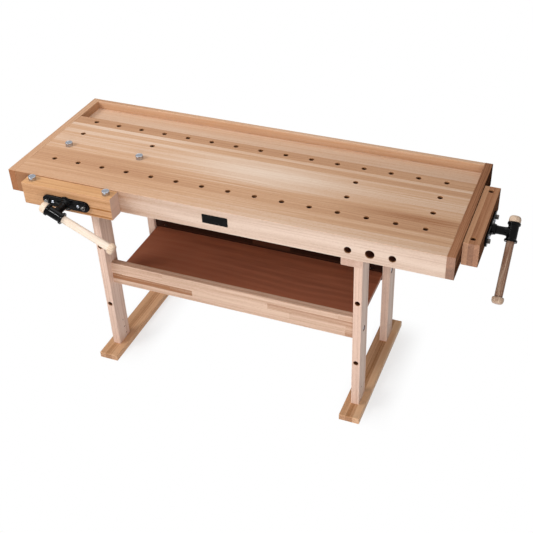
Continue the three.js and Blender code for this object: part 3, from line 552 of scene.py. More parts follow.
def wood_tone(finish, wood, place):
    """The tone of the wood at each point, the fibres that make its bump, and where its sawn ends are."""
    along, side = place[wood.grain], place[wood.across]
    deep = next(place[axis] for axis in "xyz" if axis not in (wood.grain, wood.across))
    strips = (side - wood.start) / wood.strip
    strip = strips.floor()
    luck = finish.chance(strip, 0.5, wood.salt)
    if wood.board:
        board = (along / wood.board + luck * 5).floor()
        luck = finish.chance(strip, board, wood.salt + 0.37)

    # The luck of a strip moves each noise, so that no two strips have the same grain
    length, width = wood.streak_length, wood.streak_width
    streak = finish.noise(along / length + luck * 53, side / width + luck * 17, deep / width, 4, 0.6)
    line_x, line_y = along / LINE_LENGTH + luck * 41, side / LINE_WIDTH + luck * 23
    line = finish.noise(line_x, line_y, deep / LINE_WIDTH, 1)
    fibre_x, fibre_z = along / FIBRE_LENGTH + luck * 29, deep / FIBRE_WIDTH + luck * 7
    fibre = finish.noise(fibre_x, side / FIBRE_WIDTH, fibre_z, 2)
    fleck_y = side / FLECK_WIDTH + luck * 11
    fleck = finish.noise(along / FLECK_LENGTH, fleck_y, deep / FLECK_WIDTH, 0).rise(0.62, 0.72)

    swing = finish.noise(along / SWING_LENGTH + luck * 31, luck * 9, 0.5, 1) - 0.5
    from_middle = side - wood.start - (strip + 0.5) * wood.strip
    from_pith = from_middle + (luck - 0.5) * 2 * wood.strip + swing * SWING_REACH
    depth = deep - wood.pith
    radius = (from_pith * from_pith + depth * depth).root()
    ring = ((radius * (2 * math.pi / wood.ring)).sine() * 0.5 + 0.5) ** 2

    count = len(wood.tones)
    stops = [(index / count, (tone,) * 3) for index, tone in enumerate(wood.tones)]
    glue_line = (strips.fraction() - 0.5).size().rise(0.5 - GLUE_LINE_WIDTH / wood.strip, 0.5)
    ends = finish.facing(wood.grain).rise(0.6, 0.9)
    tone = finish.ramp((strip + 0.5) / count, stops, "CONSTANT") if count > 1 else wood.tones[0]
    tone = (luck - 0.5) * wood.spread + tone
    tone = tone + (streak - 0.5) * wood.streak + (ring - 0.4) * wood.figure * (1 + ends)
    tone = tone + (line - 0.5) * wood.line + (fibre - 0.5) * wood.fibre - fleck * wood.fleck
    tone = tone - glue_line * GLUE_LINE_SHADE - ends * wood.end_shade
    for mark in wood.marks:
        wander = (streak - 0.5) * (mark.soft * 6)
        band = (place[mark.axis] + wander).window(*mark.across, mark.soft)
        tone = tone + band * along.window(*mark.along, mark.fade) * mark.tone
    return tone, fibre - fleck * 0.5, ends


def wood_finish(wood):
    """Oiled, planed wood, glued up from strips."""
    known = bpy.data.materials.get(wood.name)
    if known:
        return known
    finish = Finish(bpy.data.materials.new(wood.name))
    place = finish.place()
    tone, relief, ends = wood_tone(finish, wood, place)
    grain = finish.ramp(tone, list(zip((0, 0.5, 1), wood.colours)))
    if wood.crown:
        upper = finish.ramp(tone, list(zip((0, 0.5, 1), wood.crown)))
        grain = finish.blend(place["z"].rise(wood.crown_from, wood.crown_from + 0.4), grain, upper)
    tint = tuple(bpy.context.scene.bench_colours.end_grain)
    return finish.surface({
        "Base Color": finish.blend(ends * wood.end_tint, grain, (*tint, 1)),
        "Roughness": wood.roughness + (relief - 0.5) * 0.2,
        "Normal": finish.bump(relief, 0.25, 0.0003),
        "Specular IOR Level": wood.gloss,
    })


def palette(colours, name):
    """The dark, middle and pale colours of one of the woods."""
    return tuple(tuple(getattr(colours, f"{name}_{tone}")) for tone in ("dark", "middle", "pale"))


# Metal and paint


def paint_finish(colours):
    """Gloss black paint over a slightly rough casting, a little dusty and dulled in patches."""
    known = bpy.data.materials.get("gloss_paint")
    if known:
        return known
    finish = Finish(bpy.data.materials.new("gloss_paint"))
    place = finish.place()
    grit = finish.speckle(place, 2.2, 3)
    dust = finish.speckle(place, 28, 3).rise(0.45, 0.75)
    paint = tuple(colours.paint)
    dusty = tuple(part * 1.6 + 0.002 for part in paint)
    return finish.surface({
        "Base Color": finish.blend(dust, (*paint, 1), (*dusty, 1)),
        "Roughness": 0.08 + dust * 0.07 + grit * 0.04,
        "Normal": finish.bump(grit, 0.06, 0.0003),
        "Specular IOR Level": 0.09,
    })


def bore_finish(colours, axis, face):
    """The rough inside of a board's holes, with the drill's marks, darker away from one face of the board as
    painted shade.
    """
    name = f"bored_wood_{axis}_{abs(face):.0f}"
    known = bpy.data.materials.get(name)
    if known:
        return known
    finish = Finish(bpy.data.materials.new(name))
    colour = colours.bore
    place = finish.place()
    marks = finish.noise(place["x"] / 6, place["y"] / 6, place["z"] / 0.8, 2)
    grain = finish.speckle(place, 1.4, 2)
    dark = tuple(part * 0.6 for part in colour)
    pale = tuple(part * 1.5 for part in colour)
    wall = finish.blend((marks * 0.6 + grain * 0.4).rise(0.3, 0.7), (*dark, 1), (*pale, 1))
    # Painted shade: the wall darkens further into the hole
    depth = face - place["z"] if axis == "z" else place["y"] - face
    return finish.surface({
        "Base Color": finish.blend(depth.rise(1.5, 11), wall, (*colours.bore_painted_shade, 1)),
        "Roughness": 0.7 + (grain - 0.5) * 0.2,
        "Normal": finish.bump(marks, 0.3, 0.0004),
        "Specular IOR Level": 0.2,
    })


# Each metal's colour, its roughness, the pitch of its tool marks, and how much of its colour its ends have,
# which on the dogs is a painted reflection that darkens their tops
METALS = {
    # Flange screws and rail bolts
    "zinc_plate": ("plate", 0.24, 0.5, 1.0),
    # Dogs, with darker tops that are a painted reflection
    "dog_plate": ("plate", 0.18, 0.6, 0.62),
    # Screw collars, and the guide rods of the front vise
    "turned_steel": ("steel", 0.2, 0.8, 1.0),
    # Top bolts, cross nuts, and the guide rods of the tail vise
    "blued_steel": ("bolt", 0.3, 0.8, 1.0),
}


def metal_finish(colours, name):
    """One of the metals, turned about its piece's own z axis."""
    known = bpy.data.materials.get(name)
    if known:
        return known
    finish = Finish(bpy.data.materials.new(name))
    place = finish.place()
    setting, roughness, mark_pitch, painted_end_reflection = METALS[name]
    colour = tuple(getattr(colours, setting))
    radius = (place["x"] * place["x"] + place["y"] * place["y"]).root()
    rings = finish.noise(radius / mark_pitch, place["z"] / mark_pitch, 0.5, 2)
    smudge = finish.speckle(place, 9, 3)
    bright = tuple(min(part * 1.12, 1) for part in colour)
    dull = tuple(part * 0.72 for part in colour)
    around = finish.blend(smudge.rise(0.3, 0.7), (*dull, 1), (*bright, 1))
    # The ends keep only a share of the colour: on the dogs, a painted reflection
    face = tuple(part * painted_end_reflection for part in colour)
    return finish.surface({
        "Base Color": finish.blend(finish.facing("z").rise(0.8, 0.98), around, (*face, 1)),
        "Metallic": 1.0,
        "Roughness": roughness + (smudge - 0.5) * 0.14 + (rings - 0.5) * 0.1,
        "Normal": finish.bump(rings, 0.12, 0.0002),
    })


# Meshes


def mesh_of(name, points, faces):
    """A mesh from points in millimetres."""
    mesh = bpy.data.meshes.new(name)
    mesh.from_pydata([Vector(point) * MM for point in points], [], faces)
    mesh.update()
    return mesh


def joined(meshes):
    """One mesh of several, which stay separate shells."""
    form = bmesh.new()
    for mesh in meshes:
        form.from_mesh(mesh)
    whole = bpy.data.meshes.new("joined")
    form.to_mesh(whole)
    form.free()
    return whole


def moved(mesh, matrix):
    """The mesh, moved by a matrix."""
    mesh.transform(matrix)
    return mesh


def block(low, high):
    """A plain block between two corners."""
    points = [(x, y, z) for x in (low[0], high[0]) for y in (low[1], high[1]) for z in (low[2], high[2])]
    faces = [(0, 1, 3, 2), (4, 6, 7, 5), (0, 4, 5, 1), (2, 3, 7, 6), (0, 2, 6, 4), (1, 5, 7, 3)]
    return mesh_of("block", points, faces)


def extruded(outline, low, high):
    """A prism along z from a closed outline of x and y, drawn anticlockwise."""
    count = len(outline)
    points = [(x, y, low) for x, y in outline] + [(x, y, high) for x, y in outline]
    sides = [(i, (i + 1) % count, count + (i + 1) % count, count + i) for i in range(count)]
    ends = [tuple(reversed(range(count))), tuple(range(count, 2 * count))]
    return mesh_of("extruded", points, sides + ends)


def softened(profile, steps=5):
    """Rounds a profile's corners. Each point is a radius, a height and how far its rounding reaches."""
    points = []
    last = len(profile) - 1
    for index, (radius, height, reach) in enumerate(profile):
        corner = Vector((radius, height))
        if reach == 0 or index in (0, last):
            points.append(tuple(corner))
            continue
        towards = [Vector(profile[index + side][:2]) - corner for side in (-1, 1)]
        before, after = (corner + way * min(reach / way.length, 0.48) for way in towards)
        for step in range(steps + 1):
            share = step / steps
            curve = before * (1 - share) ** 2 + corner * 2 * share * (1 - share) + after * share ** 2
            points.append(tuple(curve))
    return points


def turned(profile, steps):
    """A piece turned about z, from points of radius and height that run up its outside."""
    points = []
    rings = []
    for radius, height in profile:
        first = len(points)
        count = steps if radius > 0 else 1
        for step in range(count):
            turn = 2 * math.pi * step / steps
            points.append((radius * math.cos(turn), radius * math.sin(turn), height))
        rings.append([first + step % count for step in range(steps)])
    faces = []
    for low, high in zip(rings, rings[1:]):
        for step in range(steps):
            after = (step + 1) % steps
            corners = (low[step], low[after], high[after], high[step])
            face = tuple(dict.fromkeys(corners))
            if len(face) > 2:
                faces.append(face)
    return mesh_of("turned", points, faces)


def threaded(radius, depth, pitch, low, high, steps):
    """A trapezoidal screw thread about z, as one helical strip."""
    section = [(0.0, radius - depth), (0.28, radius), (0.5, radius), (0.78, radius - depth)]
    turns = (high - low) / pitch - 1
    count = int(turns * steps)
    points = []
    for step in range(count + 1):
        turn = 2 * math.pi * step / steps
        for share, reach in section:
            height = low + pitch * (step / steps + share)
            points.append((reach * math.cos(turn), reach * math.sin(turn), height))
    faces = []
    size = len(section)
    for step in range(count):
        here, there = step * size, (step + 1) * size
        for part in range(size - 1):
            faces.append((here + part, there + part, there + part + 1, here + part + 1))
        above, beyond = here + steps * size, there + steps * size
        if beyond < len(points):
            faces.append((here + size - 1, there + size - 1, beyond, above))
    return mesh_of("threaded", points, faces)


ALONG = {
    "x": Matrix.Rotation(math.pi / 2, 4, "Y"),
    "y": Matrix.Rotation(-math.pi / 2, 4, "X"),
    "z": Matrix.Identity(4),
}


def bore(axis, radius, start, length, steps):
    """A drill for a round hole from a start point along an axis."""
    drill = turned([(0, 0), (radius, 0), (radius, length), (0, length)], steps)
    return moved(drill, Matrix.Translation(Vector(start) * MM) @ ALONG[axis])


def carved(mesh, tools):
    """Cuts closed tools out of a closed mesh. The cut faces take the second finish of the piece."""
    tool_mesh = joined(tools)
    for face in tool_mesh.polygons:
        face.material_index = 1
    for each in (mesh, tool_mesh):
        each.materials.append(None)
        each.materials.append(None)
    body = bpy.data.objects.new("carved_body", mesh)
    tool = bpy.data.objects.new("carving_tool", tool_mesh)
    for obj in (body, tool):
        bpy.context.scene.collection.objects.link(obj)
    cut = body.modifiers.new("cut", "BOOLEAN")
    cut.object = tool
    cut.operation = "DIFFERENCE"
    cut.solver = "EXACT"
    graph = bpy.context.evaluated_depsgraph_get()
    result = bpy.data.meshes.new_from_object(body.evaluated_get(graph))
    for obj in (body, tool):
        bpy.data.objects.remove(obj)
    return result


# Pieces


def dress(finish, *nodes):
    """Gives nodes of the frame their finish."""
    for node in nodes:
        NODES[node].data.materials.clear()
        NODES[node].data.materials.append(finish)


def add_piece(name, mesh, finishes, stands_for, place=None, edge=0.0, body=None):
    """Puts a piece in place, riding on the body of the nodes that it stands for, with rounded edges."""
    obj = bpy.data.objects.new(name, mesh)
    bpy.context.scene.collection.objects.link(obj)
    for index, finish in enumerate(finishes):
        if index < len(mesh.materials):
            mesh.materials[index] = finish
        else:
            mesh.materials.append(finish)
    for face in mesh.polygons:
        face.use_smooth = True
    if place is not None:
        obj.matrix_world = place
    if edge > 0:
        rounding = obj.modifiers.new("rounding", "BEVEL")
        rounding.width = edge
        rounding.segments = 3
        rounding.limit_method = "ANGLE"
        rounding.angle_limit = math.radians(40)
    normals = obj.modifiers.new("normals", "WEIGHTED_NORMAL")
    normals.keep_sharp = True
    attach(obj, body or BODY_OF[stands_for[0]])
    if stands_for:
        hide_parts(*stands_for)
    return obj


def bored_board(context, name, node, wood, holes, ends=None):
    """A board in a node's place with clean round holes, each an axis, a radius, a start point and a length.

    The ends are the heights of its lower and upper end, where the node has tenons beyond them.
    """
    steps = context.scene.bench_sizes.round_steps
    low, high = millimetres(node)
    if ends:
        low.z, high.z = ends
    mesh = block(low, high)
    finishes = [wood_finish(wood)]
    if holes:
        mesh = carved(mesh, [bore(*hole, steps) for hole in holes])
        upright = any(axis == "z" for axis, *_ in holes)
        face = ("z", high.z) if upright else ("y", low.y)
        finishes.append(bore_finish(context.scene.bench_colours, *face))
    return add_piece(name, mesh, finishes, [node], edge=context.scene.bench_sizes.wood_edge)


def vise_place(side):
    """A vise's own frame: x along the jaw, y along the screw into the bench, from the wall's outer face."""
    if side == "front":
        return Matrix.Translation(Vector((FRONT_VISE_X, TOP_FRONT, SCREW_Z)) * MM)
    corner = Matrix.Translation(Vector((TOP_RIGHT, TAIL_VISE_Y, SCREW_Z)) * MM)
    return corner @ Matrix.Rotation(math.pi / 2, 4, "Z")


def handle_place(side, reverse=False):
    """A handle's own frame: z along the bar from the middle of the sleeve."""
    angle = HANDLE_ANGLES[side] + (math.pi if reverse else 0)
    across = Matrix.Translation((0, SLEEVE_MIDDLE * MM, 0)) @ Matrix.Rotation(math.pi / 2 - angle, 4, "Y")
    return vise_place(side) @ across


def vise_bores(axis, start, length):
    """A wall's holes for a vise: one for the screw at the start point, and one each side for a guide rod."""
    x, y, z = start
    holes = []
    for offset in (-GUIDE_SPACING, 0, GUIDE_SPACING):
        radius = GUIDE_BORE_RADIUS if offset else SCREW_BORE_RADIUS
        spot = (x, y + offset, z) if axis == "x" else (x + offset, y, z)
        holes.append((axis, radius, spot, length))
    return holes


def stave_mark(along, staves, tone, soft, fade=1.0):
    """A mark on the top: its ends from the top's left end, its sides in staves from the slab's front."""
    ends = tuple(TOP_LEFT + distance for distance in along)
    sides = tuple(SLAB_FRONT + count * STAVE for count in staves)
    return Mark(ends, "y", sides, tone, soft, fade)


class BENCH_OT_lay_top(bpy.types.Operator):
    """Finish the top: the staves with their dog holes, the fascia, the end caps and the tool tray"""

    bl_idname = "bench.lay_top"
    bl_label = "Lay the top"

    def lay_staves(self, context, colours):
        """The slab's boards, with two full rows of dog holes and the pairs between them."""
        staves = Wood(
            "top_staves", palette(colours, "top"), start=SLAB_FRONT - STRIP_LEAD,
            tones=(0.5, 0.42, 0.5, 0.56, 0.7, 0.58, 0.44, 0.28), pith=TOP_Z - 70, streak=0.36, line=0.13,
            figure=0.08, roughness=0.44, gloss=0.2, salt=3.0, marks=(
                stave_mark((1400, TOP_LENGTH), (1, 2.9), -0.14, 5, 320),
                stave_mark((1480, TOP_LENGTH), (2.1, 2.8), -0.24, 4, 260),
                stave_mark((1350, TOP_LENGTH), (12 / STAVE, 30 / STAVE), -0.14, 4, 260),
                # Painted sheen: the wide pale patch in the middle of the top
                stave_mark((800, 1150), (2.6, 6), 0.34, 40, 420),
                stave_mark((-90, 650), (-2, 2.8), -0.1, 5, 300),
                stave_mark((0, TOP_LENGTH), (6.6, 6.97), 0.22, 1.5),
                stave_mark((-90, 700), (5.5, 7), 0.12, 2, 300),
                stave_mark((1480, TOP_LENGTH), (7, 8.2), 0.08, 2, 300),
            ),
        )
        below = TOP_Z + 2 * DRILL_LEAD - SLAB_DRILL
        front_stave, rear_stave = DOG_STAVES
        rows = {
            "front_dog_board": [(column, front_stave) for column in DOG_COLUMNS],
            "middle_board": [(column, stave) for column in CROSS_COLUMNS for stave in CROSS_STAVES],
            "rear_dog_board": [(column, rear_stave) for column in DOG_COLUMNS],
        }
        for node, spots in rows.items():
            holes = [
                ("z", DOG_HOLE_RADIUS, (dog_column_x(column), stave_middle_y(stave), below), SLAB_DRILL)
                for column, stave in spots
            ]
            bored_board(context, f"{node}_staves", node, staves, holes)
        dress(wood_finish(staves), "front_board")

    def lay_fascia(self, context, colours):
        """The fascia, darker on its face towards the left, with holes for two vises."""
        top_face = TOP_Z - FACE_DEPTH
        shaded = (
            (TOP_LEFT + 560, -0.26, 420),
            (TOP_LEFT + 130, -0.3, 40),
            (millimetres("front_jaw")[1].x + 40, -0.14, 120),
        )
        marks = [Mark((-FAR, end), "z", (-FAR, top_face), tone, 0.2, fade) for end, tone, fade in shaded]
        marks.append(Mark((TOP_LEFT + 700, FAR), "z", (top_face, FAR), 0.2, 0.2, 700))
        fascia = Wood(
            "fascia_beech", palette(colours, "fascia"), across="z", start=RIM_Z - STRIP_LEAD, strip=96,
            tones=(0.5,), streak=0.38, line=0.2, pith=TOP_Z - 30, salt=5.0, marks=tuple(marks),
            crown=palette(colours, "top"), crown_from=top_face,
        )
        holes = []
        for vise_x in (FRONT_VISE_X, SPARE_VISE_X):
            holes += vise_bores("y", (vise_x, TOP_FRONT - DRILL_LEAD, SCREW_Z), SLAB_DRILL)
        bored_board(context, "fascia_beam", "front_fascia", fascia, holes)

    def fit_caps(self, context, colours):
        """The end caps. The right one is dark on its outer face, which is painted shade, and paler towards
        the front.
        """
        right_cap = Wood(
            "right_cap_wood", palette(colours, "cap"), grain="y", across="z", start=RIM_Z - STRIP_LEAD,
            strip=47.7, tones=(0.4, 0.46), end_shade=0.32, end_tint=0.3, pith=TOP_Z - 40, gloss=0.0, salt=7.0,
            marks=(
                # Painted shade: the right cap's outer face is darkened
                Mark(WHOLE, "x", (TOP_RIGHT - FACE_DEPTH, FAR), -0.36, 0.1),
                Mark((-FAR, TOP_FRONT + 200), "z", WHOLE, 0.18, 0.2, 350),
            ),
        )
        inside = TOP_RIGHT + 3 * DRILL_LEAD - CAP_DRILL
        holes = vise_bores("x", (inside, TAIL_VISE_Y, SCREW_Z), CAP_DRILL)
        bored_board(context, "right_cap_beam", "right_end_cap", right_cap, holes)
        left_cap = Wood(
            "left_cap_wood", palette(colours, "top"), grain="y", across="z", start=RIM_Z - STRIP_LEAD,
            strip=96, tones=(0.46,), end_shade=0.6, end_tint=0.06, pith=TOP_Z - 40, salt=8.0,
        )
        bored_board(context, "left_cap_beam", "left_end_cap", left_cap, [])

    def fit_tray(self, colours):
        """The tool tray's floor with its batten, and the rail behind it."""
        tray = Wood(
            "tray_beech", colours, start=millimetres("tray_floor")[0].y - STRIP_LEAD, strip=83,
            tones=(0.62, 0.68, 0.64), streak=0.36, line=0.14, pith=TOP_Z - 90, salt=9.0,
        )
        dress(wood_finish(tray), "tray_floor", "slab_batten")
        rail_top = millimetres("rear_rail")[1].z - FACE_DEPTH
        rail = Wood(
            "tray_rail_wood", colours, across="z", start=RIM_Z - STRIP_LEAD, strip=96, tones=(0.58,),
            streak=0.36, line=0.14, pith=TOP_Z - 60, salt=11.0,
            marks=(Mark((-FAR, TOP_LEFT + 400), "z", (rail_top, FAR), -0.3, 0.2, 700),),
        )
        dress(wood_finish(rail), "rear_rail")

    def execute(self, context):
        colours = context.scene.bench_colours
        self.lay_staves(context, colours)
        self.lay_fascia(context, colours)
        self.fit_caps(context, colours)
        self.fit_tray(palette(colours, "top"))
        return {"FINISHED"}


class BENCH_OT_build_trestles(bpy.types.Operator):
    """Finish the trestles: the legs with their peg holes, the feet and the bearers"""

    bl_idname = "bench.build_trestles"
    bl_label = "Build the trestles"

    def leg_holes(self, side, end):
        """A leg's holes: the recess of its bolt, those of its pins, and on a front leg two for pegs."""
        node = f"{side}_{end}_leg"
        low, high = millimetres(node)
        outer_face = high.x if side == "right" else low.x
        recess = outer_face - (BOLT_RECESS_DEPTH if side == "right" else DRILL_LEAD)
        bolt_spot = (recess, middle_of(f"{end}_shelf_rail", "y"), middle_of("front_shelf_rail", "z"))
        holes = [("x", BOLT_RECESS_RADIUS, bolt_spot, BOLT_RECESS_DEPTH + DRILL_LEAD)]
        pins = [(outer_face, *OUTER_PIN)]
        if node == "left_front_leg":
            pins += [(high.x, *pin) for pin in INNER_PINS]
        for face, back, height in pins:
            spot = (face - PIN_HOLE_DEPTH, low.y + back, height)
            holes.append(("x", PIN_HOLE_RADIUS, spot, 2 * PIN_HOLE_DEPTH))
        if end == "front":
            start = (middle_of(node, "x"), low.y - DRILL_LEAD)
            holes += [("y", DOG_HOLE_RADIUS, (*start, height), LEG_DRILL) for height in PEG_HOLE_HEIGHTS]
        return holes

    def execute(self, context):
        colours = palette(context.scene.bench_colours, "trestle")
        foot_colours = palette(context.scene.bench_colours, "foot")
        foot_tones = {"left": (0.46, 0.36, 0.5), "right": (0.42, 0.32, 0.7)}
        for side in ("left", "right"):
            foot, bearer = f"{side}_foot", f"{side}_bearer"
            ends = (millimetres(foot)[1].z, millimetres(bearer)[0].z)
            for end in ("front", "rear"):
                node = f"{side}_{end}_leg"
                low = millimetres(node)[0]
                legs = Wood(
                    f"{node}_wood", colours, grain="z", across="y", start=low.y - STRIP_LEAD, strip=28.4,
                    tones=(0.5, 0.62, 0.4), pith=middle_of(node, "x") - 40, salt=13.0 + low.x / 97,
                )
                holes = self.leg_holes(side, end)
                bored_board(context, f"{node}_post", node, legs, holes, ends)
            feet = Wood(
                f"{foot}_wood", foot_colours, grain="y", across="x", strip=28.5, tones=foot_tones[side],
                start=millimetres(foot)[0].x - STRIP_LEAD, pith=-40, end_shade=0.2, end_tint=0.2, gloss=0.15,
                salt=17.0,
            )
            dress(wood_finish(feet), foot)
            bearers = Wood(
                f"{bearer}_wood", colours, grain="y", across="x", strip=28.1, tones=(0.5, 0.42, 0.55),
                start=millimetres(bearer)[0].x - STRIP_LEAD, pith=700, end_shade=0.2, end_tint=0.4, salt=19.0,
            )
            dress(wood_finish(bearers), bearer)
        return {"FINISHED"}


class BENCH_OT_fit_shelf(bpy.types.Operator):
    """Finish the shelf: the two rails, glued up from strips, and the dark panel between them"""

    bl_idname = "bench.fit_shelf"
    bl_label = "Fit the shelf"

    def execute(self, context):
        colours = context.scene.bench_colours
        low, high = millimetres("front_shelf_rail")
        count = 4
        strip = (high.z - low.z) / count
        rows = [(low.z + strip * row, low.z + strip * (row + 1)) for row in range(count)]
        left = low.x
        front = Wood(
            "front_rail_wood", palette(colours, "rail"), across="z", start=low.z - STRIP_LEAD / 2,
            strip=strip, tones=(0.46, 0.52, 0.5, 0.44), board=760, spread=0.08, pith=low.y - 60, salt=23.0,
            marks=(
                Mark((-FAR, left + 370), "z", rows[1], -0.42),
                Mark((left - 9, left + 300), "z", WHOLE, -0.12, 0.4, 400),
                Mark((left + 703, FAR), "z", rows[2], -0.22),
                Mark((left + 795, FAR), "z", rows[1], -0.12),
                Mark((high.x - 40, FAR), "z", rows[0], -0.2),
            ),
        )
        dress(wood_finish(front), "front_shelf_rail")
        # Painted shade: the rear rail is near black, darkest in its upper strips, for the deep shade under
        # the top
        rear = Wood(
            "rear_rail_wood", palette(colours, "stained"), across="z", start=low.z - STRIP_LEAD / 2,
            strip=strip, tones=(0.4, 0.3, 0.14, 0.12), streak=0.3, pith=low.y - 60, gloss=0.08, salt=29.0,
            marks=(Mark((left + 475, left + 650), "z", (rows[2][0], rows[3][1]), 0.3),),
        )
        dress(wood_finish(rear), "rear_shelf_rail")
        panel = Wood(
            "shelf_board", palette(colours, "shelf"), start=millimetres("shelf_panel")[0].y - 5, strip=420,
            tones=(0.46,), streak=0.6, streak_length=330, streak_width=34, line=0.12, fibre=0.12, figure=0.1,
            ring=31, pith=180, fleck=0.05, roughness=0.62, gloss=0.12, salt=31.0, marks=(
                Mark((left - 90, left + 300), "y", WHOLE, 0.16, 9, 300),
                # Painted light: the front of the shelf, near the front rail, is paler
                Mark(WHOLE, "y", (-FAR, low.y + 130), 0.2, 60),
            ),
        )
        dress(wood_finish(panel), "shelf_panel")
        return {"FINISHED"}


class BENCH_OT_shape_jaws(bpy.types.Operator):
    """Make the two wooden vise jaws with their dog holes"""

    bl_idname = "bench.shape_jaws"
    bl_label = "Shape the jaws"

    def execute(self, context):
        colours = context.scene.bench_colours
        low, high = millimetres("front_jaw")
        top_face = high.z - FACE_DEPTH
        front = Wood(
            "front_jaw_wood", palette(colours, "foot"), start=low.y - STRIP_LEAD, strip=20.2,
            tones=(0.36, 0.32, 0.4), pith=low.z - 20, end_shade=0.0, end_tint=0.85, gloss=0.16, salt=37.0,
            crown=palette(colours, "jaw"), crown_from=top_face, marks=(
                Mark((low.x + 280, high.x + 9), "z", (low.z + 37, low.z + 43), -0.5, 2.5, 60),
                Mark((low.x + 230, high.x + 9), "z", (low.z + 6, low.z + 11), -0.4, 2.5, 60),
                Mark(WHOLE, "z", (top_face, FAR), 0.2, 0.2),
            ),
        )
        jaw_y, below = middle_of("front_jaw", "y"), low.z - DRILL_LEAD
        holes = [
            ("z", DOG_HOLE_RADIUS, (FRONT_VISE_X + side * 1.5 * DOG_PITCH, jaw_y, below), JAW_DRILL)
            for side in (-1, 1)
        ]
        bored_board(context, "front_jaw_block", "front_jaw", front, holes)

        low, high = millimetres("tail_jaw")
        tail = Wood(
            "tail_jaw_wood", palette(colours, "cap"), grain="y", across="x", start=low.x - STRIP_LEAD,
            strip=20.2, tones=(0.86, 0.56, 0.62), pith=low.z - 20, end_shade=0.16, end_tint=0.2, gloss=0.0,
            salt=41.0,
            # Painted shade: the tail jaw's outer face is darkened
            marks=(Mark(WHOLE, "x", (high.x - FACE_DEPTH, FAR), -0.36, 0.2),),
        )
        jaw_x, below = middle_of("tail_jaw", "x"), low.z - DRILL_LEAD
        holes = [
            ("z", DOG_HOLE_RADIUS, (jaw_x, stave_middle_y(stave), below), JAW_DRILL)
            for stave in DOG_STAVES
        ]
        bored_board(context, "tail_jaw_block", "tail_jaw", tail, holes)
        return {"FINISHED"}


class BENCH_OT_cast_vises(bpy.types.Operator):
    """Make the painted castings of both vises: the flange, and the screw with its neck and handle sleeve"""

    bl_idname = "bench.cast_vises"
    bl_label = "Cast the vises"

    def flange(self, steps):
        """The plate with round ends, the coned boss and the two gussets."""
        half, thick, tall = FLANGE_HALF_HEIGHT, FLANGE_THICKNESS, BOSS_HEIGHT
        outline = []
        for centre, first in ((FLANGE_END_FROM_SCREW, -math.pi / 2), (-FLANGE_END_FROM_SCREW, math.pi / 2)):
            for step in range(steps // 2 + 1):
                turn = first + math.pi * step / (steps // 2)
                outline.append((centre + half * math.cos(turn), half * math.sin(turn)))
        plate = extruded(outline, 0, thick)
        boss = turned(softened([
            (0, 4, 0), (30, 4, 0), (30, thick, 0), (22, thick + 1, 6), (19, tall, 3), (0, tall, 0),
        ]), steps)
        rib = [(-46, 5), (46, 5), (46, thick), (12, tall - 3), (-12, tall - 3), (-46, thick)]
        gusset = moved(extruded(rib, -4.5, 4.5), Matrix.Rotation(math.pi / 2, 4, "X"))
        stand = Matrix.Translation((0, FLANGE_BACK * MM, 0)) @ Matrix.Rotation(math.pi / 2, 4, "X")
        return moved(joined([plate, boss, gusset]), stand)

    def spindle(self, side, sizes):
        """The threaded screw, the neck coped to the sleeve, and the rimmed sleeve."""
        steps = sizes.round_steps
        neck = softened([
            (17.6, 0, 0), (17.2, 20, 4), (15.6, 28, 6), (15.6, 50, 3), (16.5, 57.4, 1), (0, 57.4, 0),
        ])
        stem = turned(neck, steps)
        angle = HANDLE_ANGLES[side]
        lateral = Vector((-math.sin(angle), 0, math.cos(angle)))
        moved(stem, ALONG["y"])
        for vertex in stem.vertices:
            if vertex.co.y < 1e-6:
                off_axis = vertex.co.dot(lateral) / MM
                vertex.co.y = math.sqrt(max((SLEEVE_RADIUS - 1.5) ** 2 - off_axis ** 2, 0)) * MM
        moved(stem, Matrix.Translation((0, SLEEVE_MIDDLE * MM, 0)))
        half, rim, barrel, hole = SLEEVE_HALF_LENGTH, SLEEVE_RIM_RADIUS, SLEEVE_RADIUS, SLEEVE_BORE_RADIUS
        sleeve = turned(softened([
            (hole, -half, 0), (rim, -half, 2), (rim, 9 - half, 2.5), (barrel, 11 - half, 3),
            (barrel, half - 11, 3), (rim, half - 9, 2.5), (rim, half, 2), (hole, half, 0), (hole, -half, 0),
        ]), steps)
        moved(sleeve, vise_place(side).inverted() @ handle_place(side))
        pitch, depth = sizes.thread_pitch / MM, sizes.thread_depth / MM
        outer, core, neck_end, thread_start = SCREW_RADIUS, SCREW_CORE_RADIUS, BOSS_FACE + 0.5, -3
        shank = turned([
            (0, neck_end), (outer, neck_end), (outer, thread_start), (core, thread_start), (core, SCREW_END),
            (0, SCREW_END),
        ], steps)
        thread = threaded(outer, depth, pitch, thread_start - 1, SCREW_END - 2, steps // 2)
        return joined([stem, sleeve, moved(shank, ALONG["y"]), moved(thread, ALONG["y"])])

    def execute(self, context):
        sizes = context.scene.bench_sizes
        paint = paint_finish(context.scene.bench_colours)
        steel = metal_finish(context.scene.bench_colours, "turned_steel")
        for side in ("front", "tail"):
            place = vise_place(side)
            flange = self.flange(sizes.round_steps)
            add_piece(
                f"{side}_flange_casting", flange, [paint], [f"{side}_flange"],
                place, sizes.cast_edge,
            )
            spindle = self.spindle(side, sizes)
            add_piece(
                f"{side}_spindle_casting", spindle, [paint], [f"{side}_spindle"], place
            )
            dress(paint, f"{side}_nut_plate")
            dress(steel, f"{side}_screw_collar")
        return {"FINISHED"}


